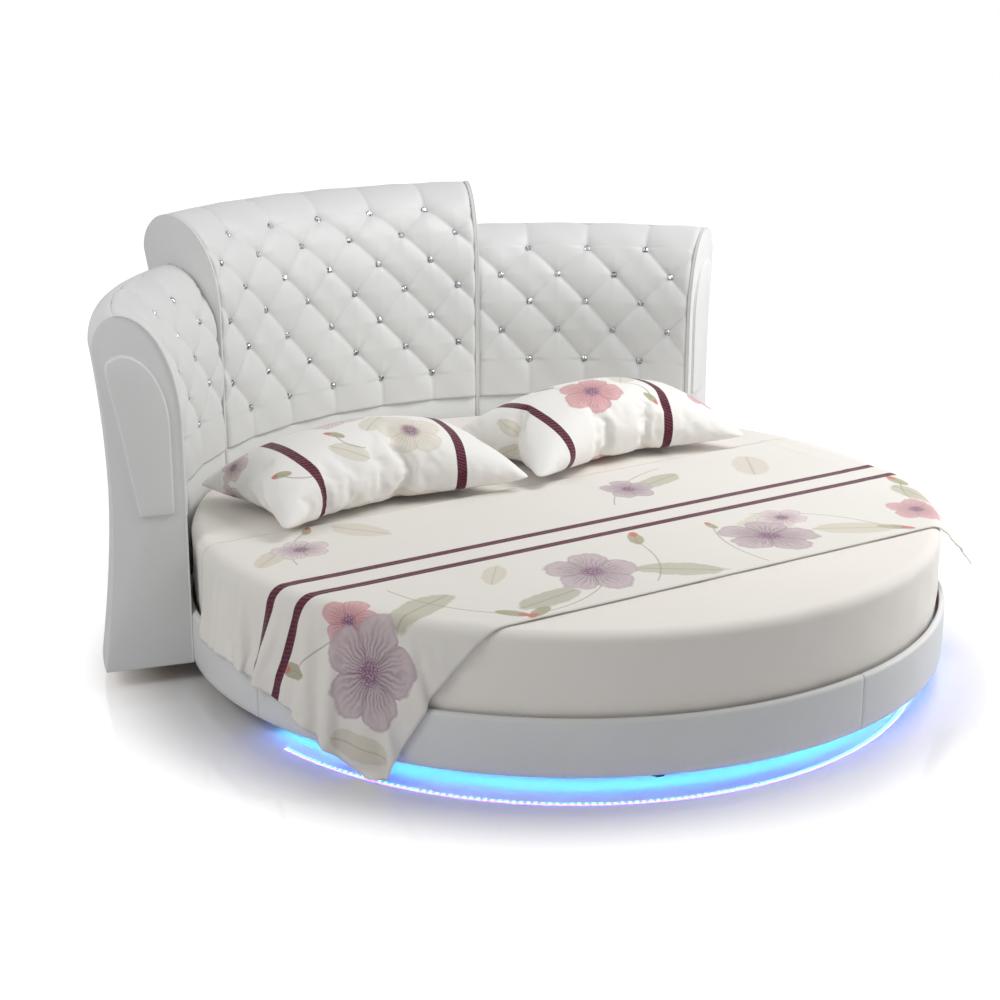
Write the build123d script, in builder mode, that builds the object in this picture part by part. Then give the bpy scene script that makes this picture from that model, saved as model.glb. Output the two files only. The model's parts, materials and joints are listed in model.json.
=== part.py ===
from build123d import *
import os
from math import atan2, cos, degrees, pi, radians, sin, sqrt

# A round bed, in millimetres. The origin lies on the floor under the middle of the
# round base, +Y runs to the headboard and +Z up. Angles of the headboard and of the
# base are counted from +Y, clockwise seen from above, so the right wing is positive.

os.makedirs("parts", exist_ok=True)

# Clearances
seat_gap = 0.3
face_gap = 0.5
overrun = 20.0

# Mattress and fitted sheet
mattress_radius = 1000.0
mattress_height = 222.0
mattress_round = 32.0
corner_steps = 1
sheet_thick = 3.0

# Base rails
base_ledge = 20.0
base_floor_gap = 50.0
rail_height = 140.0
rail_pad = 8.0
rail_lip = 4.0
rail_ply = 8.0
rail_edge_bevel = 5.0
rail_seam_gap = 1.0

# Inner hoop that carries the slats
hoop_gap = 46.0
hoop_ply = 18.0
hoop_height = 105.0
hoop_clear = 2.0
joint_plate_length = 120.0
joint_plate_height = 60.0
joint_plate_thick = 4.0

# Slats and centre beam
slat_thick = 8.0
slat_width = 66.0
slat_pitch = 110.0
slat_split = 4.0
beam_width = 60.0
beam_height = 60.0
shoe_thick = 3.0
shoe_length = 50.0

# Feet
foot_count = 6
foot_radius = 26.0
foot_tip_radius = 20.0
foot_inset = 34.0
glide_thick = 6.0
block_width = 110.0
block_depth = 80.0
block_height = 62.0
centre_foot_pitch = 480.0
centre_foot_radius = 22.0
foot_sides = 8

# Light strip and its driver
channel_width = 14.0
channel_height = 3.5
strip_width = 9.0
strip_thick = 2.5
light_start_angle = 90.5
light_end_angle = 269.5
driver_length = 160.0
driver_width = 46.0
driver_height = 32.0
driver_round = 4.0
inlet_side = 11.0
inlet_length = 14.0
inlet_bore = 2.75

# Spacers between hoop and rail
spacer_width = 60.0
spacer_height = 45.0
spacer_angles = (-165.0, -135.0, -105.0, -75.0, 75.0, 105.0, 135.0, 165.0)

# Headboard sections
centre_half_angle = 28.5
wing_end_angle = 66.6
front_clear = 1.0
headboard_depth = 225.0
waist_depth = 184.0
waist_height = 490.0
band_top = 440.0
pad_bulge = 7.0
pad_core = 41.0
roll_pad = 46.0
front_ply = 9.0
former_ply = 18.0
back_pad = 12.0
end_board = 12.0
roll_steps = 5
inner_steps = 2
back_steps = 2
crest_steps = 1
section_gap = 0.6
bottom_ply = 12.0
bottom_relief = 3.0
centre_former_angle = 9.5
wing_former_angle = 47.5

# Centre section heights
centre_top = 1108.0
centre_roll_rise = 270.0
centre_roll_run = 166.0
centre_back_run = 74.0
centre_back_drop = 96.0

# Wing section heights
wing_top = 972.0
wing_roll_rise = 290.0
wing_roll_run = 156.0
wing_back_run = 62.0
wing_back_drop = 84.0

# Tufting
button_pitch_angle = 9.89
button_radius = 9.0
button_height = 7.0
button_table = 4.0
button_sides = 6
centre_row_heights = (1043.0, 972.0, 889.0, 804.0, 712.0, 621.0, 528.0)
centre_row_counts = (5, 6, 5, 6, 5, 6, 5)
wing_row_heights = (910.0, 830.0, 744.0, 653.0, 556.0)
wing_row_counts = (3, 4, 3, 4, 3)

# Wing end pad
end_pad_inset = 38.0
end_pad_width = 84.0
end_pad_foot = 458.0
end_pad_top = 872.0
end_pad_thick = 9.0
end_pad_roll_share = 1.35
end_pad_tail_shares = ((0.36, -0.12), (0.46, -0.48), (0.18, -1.7))
end_pad_steps = 5

# Plates under the headboard and its feet
plate_width = 40.0
plate_length = 130.0
plate_thick = 3.0
plate_angles = (-54.0, -40.0, -14.0, 14.0, 40.0, 54.0)
board_foot_radius = 24.0
board_foot_angles = (-58.0, -36.0, -16.0, 16.0, 36.0, 58.0)

# Bed cover
cover_turn = -9.0
cover_near_share = -0.715
cover_far_share = 0.165
cover_thick = 14.0
cover_left_reach_share = 1.215
cover_right_reach_share = 0.935
cover_left_waves = 7
cover_right_waves = 4
cover_wave = 9.0
cover_flare = 38.0
cover_corner_gap = 30.0
cover_lift = 1.2
cover_steps = 28
cover_bend_share = 0.41
cover_slant_share = 0.67

# Pillows
pillow_length_share = 0.78
pillow_depth_share = 0.49
pillow_thick = 200.0
pillow_station_shares = (-0.5, -0.42, -0.2, 0.2, 0.42, 0.5)
pillow_depth_shares = (1.0, 0.95, 0.9, 0.9, 0.95, 1.0)
pillow_thick_shares = (0.08, 0.5, 0.96, 0.96, 0.5, 0.08)
pillow_outline_shares = (
    (-1.0, 0.25), (-0.82, 0.62), (-0.42, 0.92), (0.0, 1.0), (0.42, 0.92), (0.82, 0.62),
    (1.0, 0.25), (0.72, 0.0), (0.0, 0.0), (-0.72, 0.0),
)
pillow_left_shares = (-0.372, 0.388)
pillow_right_shares = (0.415, 0.299)
pillow_left_turn = -7.0
pillow_right_turn = -6.0

# Worked-out places
quarter_angle = 90.0
base_radius = mattress_radius + base_ledge
base_bottom = base_floor_gap
base_top = base_floor_gap + rail_height
slat_bottom = base_bottom + hoop_clear + hoop_height
slat_top = slat_bottom + slat_thick
hoop_bottom = base_bottom + hoop_clear
rail_inner = base_radius - rail_pad - rail_ply
hoop_radius = rail_inner - hoop_gap
slat_rows = 2 * int((hoop_radius - slat_width) / slat_pitch) + 1
mattress_bottom = slat_top + seat_gap
mattress_top = mattress_bottom + mattress_height
front_radius = base_radius + front_clear
back_radius = front_radius + headboard_depth
waist_radius = front_radius + waist_depth
pad_radius = front_radius - pad_bulge
core_radius = pad_radius + pad_core
board_front = core_radius
board_back = core_radius + front_ply
cover_near = mattress_radius * cover_near_share
cover_far = mattress_radius * cover_far_share
cover_left_reach = mattress_radius * cover_left_reach_share
cover_right_reach = mattress_radius * cover_right_reach_share
pillow_length = mattress_radius * pillow_length_share
pillow_depth = mattress_radius * pillow_depth_share
left, right = -1, 1


def polar(radius, angle, height=0.0):
    """A point at an angle from +Y, clockwise seen from above."""
    turn = radians(angle)
    return Vector(radius * sin(turn), radius * cos(turn), height)


def radial_plane(angle):
    """The upright plane through the Z axis at an angle: x runs outwards, y up."""
    return Plane(origin=(0, 0, 0), x_dir=polar(1, angle), z_dir=polar(1, angle + quarter_angle))


def turn_profile(profile, start, end):
    """Revolves a finished sketch about Z, clockwise seen from above, into the open part."""
    revolve(profile.sketch, axis=Axis((0, 0, 0), (0, 0, -1)), revolution_arc=end - start)


def ring(inner, outer, bottom, top, start, end):
    """Adds a ring piece of square section between two angles to the open part."""
    with BuildSketch(radial_plane(start)) as profile:
        with Locations(((inner + outer) / 2, (bottom + top) / 2)):
            Rectangle(outer - inner, top - bottom)
    turn_profile(profile, start, end)


def faceted(rings):
    """A solid with flat facets through rings of points, closed at both ends."""
    facets = []
    for near, far in zip(rings, rings[1:]):
        for place in range(len(near)):
            a, b = near[place], near[(place + 1) % len(near)]
            c, d = far[place], far[(place + 1) % len(far)]
            facets += [(a, b, d), (a, d, c)]
    for end in (rings[0], rings[-1]):
        for place in range(len(end) // 2 - 1):
            a, b, c, d = end[place], end[place + 1], end[-place - 2], end[-place - 1]
            facets += [(a, b, c), (a, c, d)]
    return Solid(Shell([Face(Wire.make_polygon(corners)) for corners in facets]))


def save(builder, name):
    """Labels the finished piece and writes it."""
    builder.part.label = name
    export_step(builder.part, f"parts/{name}.step")


class Section:
    """One headboard section: its angles, its heights and its rows of buttons."""

    def __init__(self, name, start, end, top, rise, run, back_run, back_drop, rows, counts):
        self.name = name
        self.start = start
        self.end = end
        self.middle = (start + end) / 2
        self.top = top
        self.rise = rise
        self.run = run
        self.back_run = back_run
        self.back_drop = back_drop
        self.rows = rows
        self.counts = counts
        self.crest = pad_radius + run
        self.shoulder = self.crest + back_run

    def front_at(self, height):
        """Radius of the faceted front at a height, and the slope angle of its facet."""
        points = front_points(self, pad_radius, 0.0, band_top, roll_steps)
        for (near, low), (far, high) in zip(points, points[1:]):
            if height <= high:
                share = (height - low) / (high - low)
                return near + share * (far - near), degrees(atan2(far - near, high - low))
        return self.crest, 0.0

    def button_angle(self, row, place):
        count = self.counts[row]
        return self.middle + (place - (count - 1) / 2) * button_pitch_angle

    def button_points(self):
        """Angle, height and row of every button."""
        return [
            (self.button_angle(row, place), height, row)
            for row, height in enumerate(self.rows)
            for place in range(self.counts[row])
        ]


centre = Section(
    "centre", -centre_half_angle, centre_half_angle, centre_top, centre_roll_rise,
    centre_roll_run, centre_back_run, centre_back_drop, centre_row_heights, centre_row_counts,
)
wing_left = Section(
    "left_wing", -wing_end_angle, -centre_half_angle, wing_top, wing_roll_rise,
    wing_roll_run, wing_back_run, wing_back_drop, wing_row_heights, wing_row_counts,
)
wing_right = Section(
    "right_wing", centre_half_angle, wing_end_angle, wing_top, wing_roll_rise,
    wing_roll_run, wing_back_run, wing_back_drop, wing_row_heights, wing_row_counts,
)
sections = (centre, wing_left, wing_right)


def front_points(section, front, inset, foot, steps):
    """Points of a section's front from its foot up over the roll to the crest."""
    roll_foot = section.top - section.rise
    turns = [radians(90 * step / steps) for step in range(steps + 1)]
    run = section.crest - front
    return [(front, foot)] + [
        (section.crest - run * cos(turn), roll_foot + (section.rise - inset) * sin(turn))
        for turn in turns
    ]


def back_points(section, inset, top_inset, foot):
    """Points of a section's back from its foot up past the waist to the crest."""
    shoulder_height = section.top - section.back_drop
    points = []
    for step in range(back_steps + 1):
        height = foot + (shoulder_height - foot) * step / back_steps
        low = (height - waist_height) / (base_bottom - waist_height)
        high = (height - waist_height) / (shoulder_height - waist_height)
        reach = max(0.0, low) ** 2 * (back_radius - waist_radius)
        reach += max(0.0, high) ** 2 * (section.shoulder - waist_radius)
        points.append((waist_radius + reach - inset, height))
    for step in range(1, crest_steps + 1):
        turn = radians(90 * step / crest_steps)
        points.append((section.crest + (section.back_run - inset) * cos(turn),
                       shoulder_height + (section.back_drop - top_inset) * sin(turn)))
    return points


def side_profile(section, front, back_inset, top_inset, foot, steps):
    """The closed side profile of a section, drawn in at its front, back and top."""
    with BuildSketch() as profile:
        with BuildLine():
            outline = front_points(section, front, top_inset, base_bottom, steps)
            outline += reversed(back_points(section, back_inset, top_inset, base_bottom)[:-1])
            Polyline(*outline, close=True)
        make_face()
        if foot > base_bottom:
            with Locations((front, base_bottom)):
                Rectangle(4 * headboard_depth, 2 * (foot - base_bottom), mode=Mode.SUBTRACT)
    return profile.sketch


def front_layer(section, outer, inner, outer_inset, inner_inset, foot, steps):
    """The profile of a layer that follows the front from a foot up to the crest."""
    with BuildSketch() as profile:
        with BuildLine():
            outline = front_points(section, outer, outer_inset, foot, steps)
            outline += reversed(front_points(section, inner, inner_inset, foot, inner_steps))
            Polyline(*outline, close=True)
        make_face()
    return profile.sketch


def back_layer(section, inset, top_inset, foot):
    """The profile of the layer that follows the back from the foot up to the crest."""
    with BuildSketch() as profile:
        with BuildLine():
            outline = back_points(section, 0.0, 0.0, foot)
            outline += reversed(back_points(section, inset, top_inset, foot))
            Polyline(*outline, close=True)
        make_face()
    return profile.sketch


def turn_layer(section, profile):
    """Revolves a layer's profile over the section's angle into the open part."""
    placed = radial_plane(section.start) * profile
    revolve(placed, axis=Axis((0, 0, 0), (0, 0, -1)), revolution_arc=section.end - section.start)


def trim_ends(section, start_cut, end_cut):
    """Cuts the open part off square at a distance inside each end of the section."""
    start_dir = polar(1, section.start + quarter_angle)
    end_dir = polar(1, section.end + quarter_angle)
    split(bisect_by=Plane(origin=start_dir * start_cut, z_dir=start_dir), keep=Keep.TOP)
    split(bisect_by=Plane(origin=end_dir * -end_cut, z_dir=end_dir), keep=Keep.BOTTOM)


# Base rails: four upholstered quarters, each a bent board under a padded cover
rail_names = ("head_right", "foot_right", "foot_left", "head_left")

for quarter, rail_name in enumerate(rail_names):
    seam = degrees(rail_seam_gap / 2 / base_radius)
    rail_start = quarter * quarter_angle + seam
    rail_end = (quarter + 1) * quarter_angle - seam
    panel_outer = rail_inner + rail_ply
    with BuildPart() as rail_panel:
        ring(rail_inner, panel_outer, base_bottom, base_top - rail_lip - seat_gap, rail_start, rail_end)
    save(rail_panel, f"rail_panel_{rail_name}")

    with BuildPart() as rail_cover:
        with BuildSketch(radial_plane(rail_start)):
            with BuildLine():
                Polyline(
                    (panel_outer + seat_gap, base_bottom), (base_radius, base_bottom),
                    (base_radius, base_top - rail_edge_bevel), (base_radius - rail_edge_bevel, base_top),
                    (rail_inner, base_top), (rail_inner, base_top - rail_lip),
                    (panel_outer + seat_gap, base_top - rail_lip),
                    close=True,
                )
            make_face()
        revolve(axis=Axis((0, 0, 0), (0, 0, -1)), revolution_arc=rail_end - rail_start)
    save(rail_cover, f"rail_cover_{rail_name}")

# Inner hoop in two halves, which carries the slats, and its two joint plates
hoop_inner = hoop_radius - hoop_ply
hoop_seam = degrees(rail_seam_gap / 2 / hoop_radius)
hoop_middle = (hoop_bottom + slat_bottom) / 2
for side_name, start in (("right", 0.0), ("left", 2 * quarter_angle)):
    with BuildPart() as hoop:
        ring(hoop_inner, hoop_radius, hoop_bottom, slat_bottom, start + hoop_seam,
             start + 2 * quarter_angle - hoop_seam)
    save(hoop, f"inner_hoop_{side_name}")

with BuildPart() as joint_plates:
    half_turn = degrees(joint_plate_length / 2 / hoop_radius)
    for angle in (0.0, 2 * quarter_angle):
        ring(hoop_radius + seat_gap, hoop_radius + seat_gap + joint_plate_thick,
             hoop_middle - joint_plate_height / 2, hoop_middle + joint_plate_height / 2,
             angle - half_turn, angle + half_turn)
save(joint_plates, "hoop_joint_plates")

with BuildPart() as rail_spacers:
    half_turn = degrees(spacer_width / 2 / hoop_radius)
    for angle in spacer_angles:
        ring(hoop_radius + seat_gap, rail_inner - seat_gap,
             hoop_middle - spacer_height / 2, hoop_middle + spacer_height / 2,
             angle - half_turn, angle + half_turn)
save(rail_spacers, "rail_spacers")

# Centre beam under the slats' inner ends, hung from the hoop in two steel shoes
beam_length = 2 * (sqrt(hoop_inner**2 - (beam_width / 2 + shoe_thick) ** 2) - shoe_thick - face_gap)
beam_middle = slat_bottom - beam_height / 2
with BuildPart() as centre_beam:
    with Locations((0, 0, beam_middle)):
        Box(beam_width, beam_length, beam_height)
save(centre_beam, "centre_beam")

with BuildPart() as beam_shoes:
    shoe_width = beam_width + 2 * (shoe_thick + seat_gap)
    shoe_place = (beam_length - shoe_length) / 2 + shoe_thick + seat_gap
    shoe_top = slat_bottom - seat_gap
    shoe_bottom = slat_bottom - beam_height - seat_gap - shoe_thick
    for end in (1, -1):
        with Locations((0, end * shoe_place, (shoe_top + shoe_bottom) / 2)):
            Box(shoe_width, shoe_length, shoe_top - shoe_bottom)
        with Locations((0, end * (shoe_place - shoe_thick), (shoe_top + shoe_bottom) / 2 + shoe_thick)):
            Box(shoe_width - 2 * shoe_thick, shoe_length, shoe_top - shoe_bottom, mode=Mode.SUBTRACT)
save(beam_shoes, "beam_shoes")

# Slats: each row is two slats that meet over the beam and rest on the hoop
for side_name, side in (("left", left), ("right", right)):
    with BuildPart() as slats:
        for row in range(slat_rows):
            place = (row - (slat_rows - 1) / 2) * slat_pitch
            outer_edge = abs(place) + slat_width / 2
            reach = sqrt((hoop_radius - face_gap) ** 2 - outer_edge**2)
            with Locations((side * (reach + slat_split / 2) / 2, place, slat_bottom + slat_thick / 2)):
                Box(reach - slat_split / 2, slat_width, slat_thick)
    save(slats, f"slats_{side_name}")

# Six turned feet under blocks inside the hoop, and three more under the beam
foot_ring = hoop_inner - seat_gap - foot_inset
foot_pitch_angle = 4 * quarter_angle / foot_count
foot_angles = [foot_pitch_angle * (place + 1 / 2) for place in range(foot_count)]
block_top = slat_bottom - seat_gap
block_bottom = block_top - block_height
with BuildPart() as foot_blocks:
    for angle in foot_angles:
        half_turn = degrees(block_width / 2 / foot_ring)
        ring(hoop_inner - seat_gap - block_depth, hoop_inner - seat_gap, block_bottom, block_top,
             angle - half_turn, angle + half_turn)
save(foot_blocks, "foot_blocks")

foot_height = block_bottom - glide_thick - 2 * seat_gap
foot_taper = degrees(atan2(foot_radius - foot_tip_radius, foot_height))
with BuildPart() as outer_feet:
    for angle in foot_angles:
        with BuildSketch(Plane(origin=polar(foot_ring, angle, block_bottom - seat_gap))) as top:
            RegularPolygon(foot_radius, foot_sides)
        extrude(top.sketch, amount=-foot_height, taper=foot_taper)
save(outer_feet, "outer_feet")

beam_bottom = slat_bottom - beam_height
with BuildPart() as centre_feet:
    for place in (-1, 0, 1):
        with BuildSketch(Plane(origin=(0, place * centre_foot_pitch, glide_thick + seat_gap))):
            RegularPolygon(centre_foot_radius, foot_sides)
    extrude(amount=beam_bottom - seat_gap - glide_thick - seat_gap)
save(centre_feet, "centre_feet")

with BuildPart() as foot_glides:
    for angle in foot_angles:
        with BuildSketch(Plane(origin=polar(foot_ring, angle))) as pad:
            RegularPolygon(foot_tip_radius, foot_sides)
        extrude(pad.sketch, amount=glide_thick)
    for place in (-1, 0, 1):
        with BuildSketch(Plane(origin=(0, place * centre_foot_pitch, 0))) as pad:
            RegularPolygon(centre_foot_radius, foot_sides)
        extrude(pad.sketch, amount=glide_thick)
save(foot_glides, "foot_glides")

# Light strip under the foot half of the hoop, in its channel, and the driver on the beam
channel_radius = (hoop_inner + hoop_radius) / 2
channel_top = hoop_bottom - seat_gap
channel_bottom = channel_top - channel_height
with BuildPart() as light_channel:
    ring(channel_radius - channel_width / 2, channel_radius + channel_width / 2, channel_bottom,
         channel_top, light_start_angle, light_end_angle)
save(light_channel, "light_channel")

strip_top = channel_bottom - seat_gap
with BuildPart() as light_strip:
    ring(channel_radius - strip_width / 2, channel_radius + strip_width / 2, strip_top - strip_thick,
         strip_top, light_start_angle, light_end_angle)
save(light_strip, "light_strip")

driver_place = beam_width / 2 + seat_gap + driver_width / 2
driver_middle = beam_middle
driver_along = -centre_foot_pitch / 2
with BuildPart() as light_driver:
    with Locations((driver_place, driver_along, driver_middle)):
        Box(driver_width, driver_length, driver_height)
    fillet(edges().filter_by(Axis.Y), radius=driver_round)
save(light_driver, "light_driver")

inlet_face = driver_along + driver_length / 2 + seat_gap
with BuildPart() as driver_inlet:
    inlet_bottom = driver_middle - inlet_length / 2
    with BuildSketch(Plane(origin=(driver_place, inlet_face + inlet_side / 2, inlet_bottom))):
        Rectangle(inlet_side, inlet_side)
        Circle(inlet_bore, mode=Mode.SUBTRACT)
    extrude(amount=inlet_length)
save(driver_inlet, "driver_inlet")

# Headboard: layers of each section between its ends
end_cut = end_board + seat_gap
end_cuts = {
    "centre": (end_cut, end_cut),
    "left_wing": (end_cut, section_gap),
    "right_wing": (section_gap, end_cut),
}
former_angles = {
    "centre": (-centre_former_angle, centre_former_angle),
    "left_wing": (-wing_former_angle,),
    "right_wing": (wing_former_angle,),
}
former_front = board_back + seat_gap
former_top_inset = roll_pad + front_ply + seat_gap
former_foot = base_bottom + bottom_ply + seat_gap
former_back_inset = back_pad + seat_gap + face_gap


def surface_frame(section, angle, height):
    """A point on the padded front and the direction into the pad there."""
    radius, slope = section.front_at(height)
    inward = polar(cos(radians(slope)), angle, -sin(radians(slope)))
    return polar(radius, angle, height), inward


for section in sections:
    start_cut, far_cut = end_cuts[section.name]

    with BuildPart() as tufted_pad:
        turn_layer(section, front_layer(section, pad_radius, core_radius - seat_gap, 0.0,
                                        roll_pad - seat_gap, band_top + seat_gap, roll_steps))
        trim_ends(section, start_cut, far_cut)
    save(tufted_pad, f"{section.name}_tufted_pad")

    with BuildPart() as buttons:
        for angle, height, row in section.button_points():
            point, inward = surface_frame(section, angle, height)
            base = Plane(origin=point - inward * seat_gap, x_dir=polar(1, angle + quarter_angle),
                         z_dir=inward * -1)
            add(faceted([
                [base.from_local_coords(Vector(radius * cos(turn), radius * sin(turn), level))
                 for turn in (2 * pi * side / button_sides for side in range(button_sides))]
                for radius, level in ((button_radius, 0.0), (button_table, button_height))
            ]))
    save(buttons, f"{section.name}_buttons")

    with BuildPart() as lower_band:
        ring(front_radius, core_radius - seat_gap, base_bottom, band_top, section.start, section.end)
        trim_ends(section, start_cut, far_cut)
    save(lower_band, f"{section.name}_lower_band")

    with BuildPart() as front_board:
        turn_layer(section, front_layer(section, board_front, board_back, roll_pad,
                                        roll_pad + front_ply, base_bottom, inner_steps))
        trim_ends(section, start_cut, far_cut)
    save(front_board, f"{section.name}_front_board")

    with BuildPart() as back_cover:
        turn_layer(section, back_layer(section, back_pad, roll_pad - seat_gap, base_bottom))
        trim_ends(section, start_cut, far_cut)
    save(back_cover, f"{section.name}_back_cover")

    with BuildPart() as formers:
        core = side_profile(section, former_front, former_back_inset, former_top_inset, former_foot,
                            inner_steps)
        for angle in former_angles[section.name]:
            extrude(radial_plane(angle) * core, amount=former_ply / 2, both=True)
        start_plane = radial_plane(section.start).offset(start_cut + seat_gap)
        extrude(start_plane * core, amount=former_ply)
        end_plane = radial_plane(section.end).offset(-far_cut - seat_gap)
        extrude(end_plane * core, amount=-former_ply)
    save(formers, f"{section.name}_formers")

# Bottom boards that close the sections and carry their feet
with BuildPart() as bottom_boards:
    for section in sections:
        start_cut, far_cut = end_cuts[section.name]
        start_turn = degrees((start_cut + seat_gap) / former_front)
        end_turn = degrees((far_cut + seat_gap) / former_front)
        ring(former_front, back_radius - back_pad - bottom_relief, base_bottom, base_bottom + bottom_ply,
             section.start + start_turn, section.end - end_turn)
save(bottom_boards, "bottom_boards")

board_foot_ring = (former_front + back_radius - back_pad) / 2
with BuildPart() as board_feet:
    for angle in board_foot_angles:
        with BuildSketch(Plane(origin=polar(board_foot_ring, angle))) as pad:
            RegularPolygon(board_foot_radius, foot_sides)
        extrude(pad.sketch, amount=base_bottom - seat_gap)
save(board_feet, "headboard_feet")

# Padded boards that close the ends of the sections
with BuildPart() as centre_end_covers:
    whole = side_profile(centre, front_radius, 0.0, 0.0, base_bottom, roll_steps)
    cover_ply = end_board - section_gap / 2
    extrude(radial_plane(centre.start).offset(section_gap / 2) * whole, amount=cover_ply)
    extrude(radial_plane(centre.end).offset(-section_gap / 2) * whole, amount=-cover_ply)
save(centre_end_covers, "centre_end_covers")

end_pad_front = pad_radius + end_pad_inset
end_pad_back = end_pad_front + end_pad_width
end_pad_crest = end_pad_front + end_pad_width * end_pad_roll_share
end_pad_shoulder = wing_top - wing_roll_rise
with BuildSketch() as end_pad_profile:
    with BuildLine():
        turns = [radians(90 * step / end_pad_steps) for step in range(end_pad_steps + 1)]
        outline = [(end_pad_front, end_pad_foot)]
        outline += [
            (end_pad_crest - (end_pad_crest - end_pad_front) * cos(turn),
             end_pad_shoulder + (end_pad_top - end_pad_shoulder) * sin(turn))
            for turn in turns
        ]
        outline += [
            (end_pad_crest + end_pad_width * run, end_pad_top + end_pad_width * drop)
            for run, drop in end_pad_tail_shares
        ]
        outline.append((end_pad_back, end_pad_foot))
        Polyline(*outline, close=True)
    make_face()

for section, side in ((wing_left, left), (wing_right, right)):
    outer_angle = section.start if side == left else section.end
    face_plane = radial_plane(outer_angle)
    with BuildPart() as end_panel:
        whole = side_profile(section, front_radius, 0.0, 0.0, base_bottom, roll_steps)
        extrude(face_plane * whole, amount=-side * end_board)
    save(end_panel, f"{section.name}_end_panel")

    with BuildPart() as end_pad:
        raised = face_plane.offset(side * seat_gap) * end_pad_profile.sketch
        extrude(raised, amount=side * end_pad_thick)
    save(end_pad, f"{section.name}_end_pad")

# Flat steel plates screwed up under the base and the headboard, and across its sections
plate_place = (rail_inner + former_front + plate_width) / 2
with BuildPart() as headboard_plates:
    for angle in plate_angles:
        with BuildSketch(Plane(origin=polar(plate_place, angle, base_bottom - seat_gap),
                               x_dir=polar(1, angle))) as plate:
            Rectangle(plate_length, plate_width)
        extrude(plate.sketch, amount=-plate_thick)
save(headboard_plates, "headboard_plates")

section_plate_place = (former_front + back_radius - back_pad) / 2
with BuildPart() as section_plates:
    for angle in (-centre_half_angle, centre_half_angle):
        with BuildSketch(Plane(origin=polar(section_plate_place, angle, base_bottom - seat_gap),
                               x_dir=polar(1, angle))) as plate:
            Rectangle(plate_width, plate_length)
        extrude(plate.sketch, amount=-plate_thick)
save(section_plates, "section_plates")

# Mattress and the fitted sheet over it, which ends at its lower edge
core_mattress_radius = mattress_radius - sheet_thick - seat_gap
core_mattress_top = mattress_top - sheet_thick - seat_gap


def mattress_profile(radius, bottom, top, corner):
    """Half of the mattress's upright section, with its upper edge rounded off."""
    turns = [radians(90 * step / corner_steps) for step in range(corner_steps + 1)]
    upper = [(radius - corner + corner * cos(turn), top - corner + corner * sin(turn)) for turn in turns]
    with BuildSketch(Plane.XZ) as profile:
        with BuildLine():
            Polyline((0, bottom), (radius, bottom), *upper, (0, top), close=True)
        make_face()
    return profile.sketch


with BuildPart() as mattress:
    revolve(mattress_profile(core_mattress_radius, mattress_bottom, core_mattress_top,
                             mattress_round - sheet_thick - seat_gap), axis=Axis.Z)
save(mattress, "mattress")

with BuildPart() as fitted_sheet:
    revolve(mattress_profile(mattress_radius, mattress_bottom, mattress_top, mattress_round), axis=Axis.Z)
    revolve(mattress_profile(mattress_radius - sheet_thick, mattress_bottom - overrun,
                             mattress_top - sheet_thick, mattress_round - sheet_thick),
            axis=Axis.Z, mode=Mode.SUBTRACT)
save(fitted_sheet, "fitted_sheet")

# Bed cover: a flat top on the sheet and a wavy skirt that hangs at each end
cover_bottom = mattress_top + seat_gap
cover_top = cover_bottom + cover_thick
cover_inner = mattress_radius + cover_lift


def cover_point(radius, angle, height):
    """A point by its angle in the cover's own frame, which is turned on the bed."""
    turn = radians(angle + cover_turn)
    return Vector(radius * cos(turn), radius * sin(turn), height)


def cover_line(turns, waves, reach, drop, hems, inset):
    """The cover's edge line: outer points down one way, then the inner ones back."""
    outer, inner = [], []
    for step, (turn, hem) in enumerate(zip(turns, hems)):
        height = hem if drop is None else cover_bottom - drop
        share = (cover_bottom - height) / (cover_bottom - min(hems)) if drop is None else 0.0
        swing = cover_wave * (1 - cos(2 * pi * waves * step / cover_steps)) / 2
        radius = reach + share * (cover_flare + swing)
        outer.append(cover_point(radius + inset[0], turn, height + inset[1]))
        inner.append(cover_point(radius, turn, height))
    return outer + inner[::-1]


near_turn = degrees(atan2(-cover_near, sqrt(mattress_radius**2 - cover_near**2)))
far_turn = degrees(atan2(cover_far, sqrt(mattress_radius**2 - cover_far**2)))
left_hem_far = mattress_top - (cover_left_reach - sqrt(mattress_radius**2 - cover_far**2))
left_hem_near = cover_corner_gap
right_hem_far = mattress_top - mattress_round - cover_thick
right_drop = cover_right_reach - sqrt(mattress_radius**2 - cover_near**2)
right_hem_near = mattress_top - cover_slant_share * right_drop

hang = (cover_thick, 0.0)
bend = (cover_thick, cover_thick * cover_bend_share)
flat = (cover_thick * cover_bend_share, cover_thick)
rings = []
for near, far, waves, hem_near, hem_far in (
    (2 * quarter_angle + near_turn, 2 * quarter_angle - far_turn, cover_left_waves, left_hem_near,
     left_hem_far),
    (-near_turn, far_turn, cover_right_waves, right_hem_near, right_hem_far),
):
    shares = [step / cover_steps for step in range(cover_steps + 1)]
    turns = [near + (far - near) * share for share in shares]
    hems = [hem_near + (hem_far - hem_near) * share for share in shares]
    side_rings = [
        cover_line(turns, waves, cover_inner, None, hems, hang),
        cover_line(turns, waves, cover_inner, mattress_round, hems, bend),
        cover_line(turns, waves, cover_inner - mattress_round, 0.0, hems, flat),
    ]
    rings += side_rings if near > quarter_angle else side_rings[::-1]

with BuildPart() as bed_cover:
    add(faceted(rings))
save(bed_cover, "bed_cover")


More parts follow.
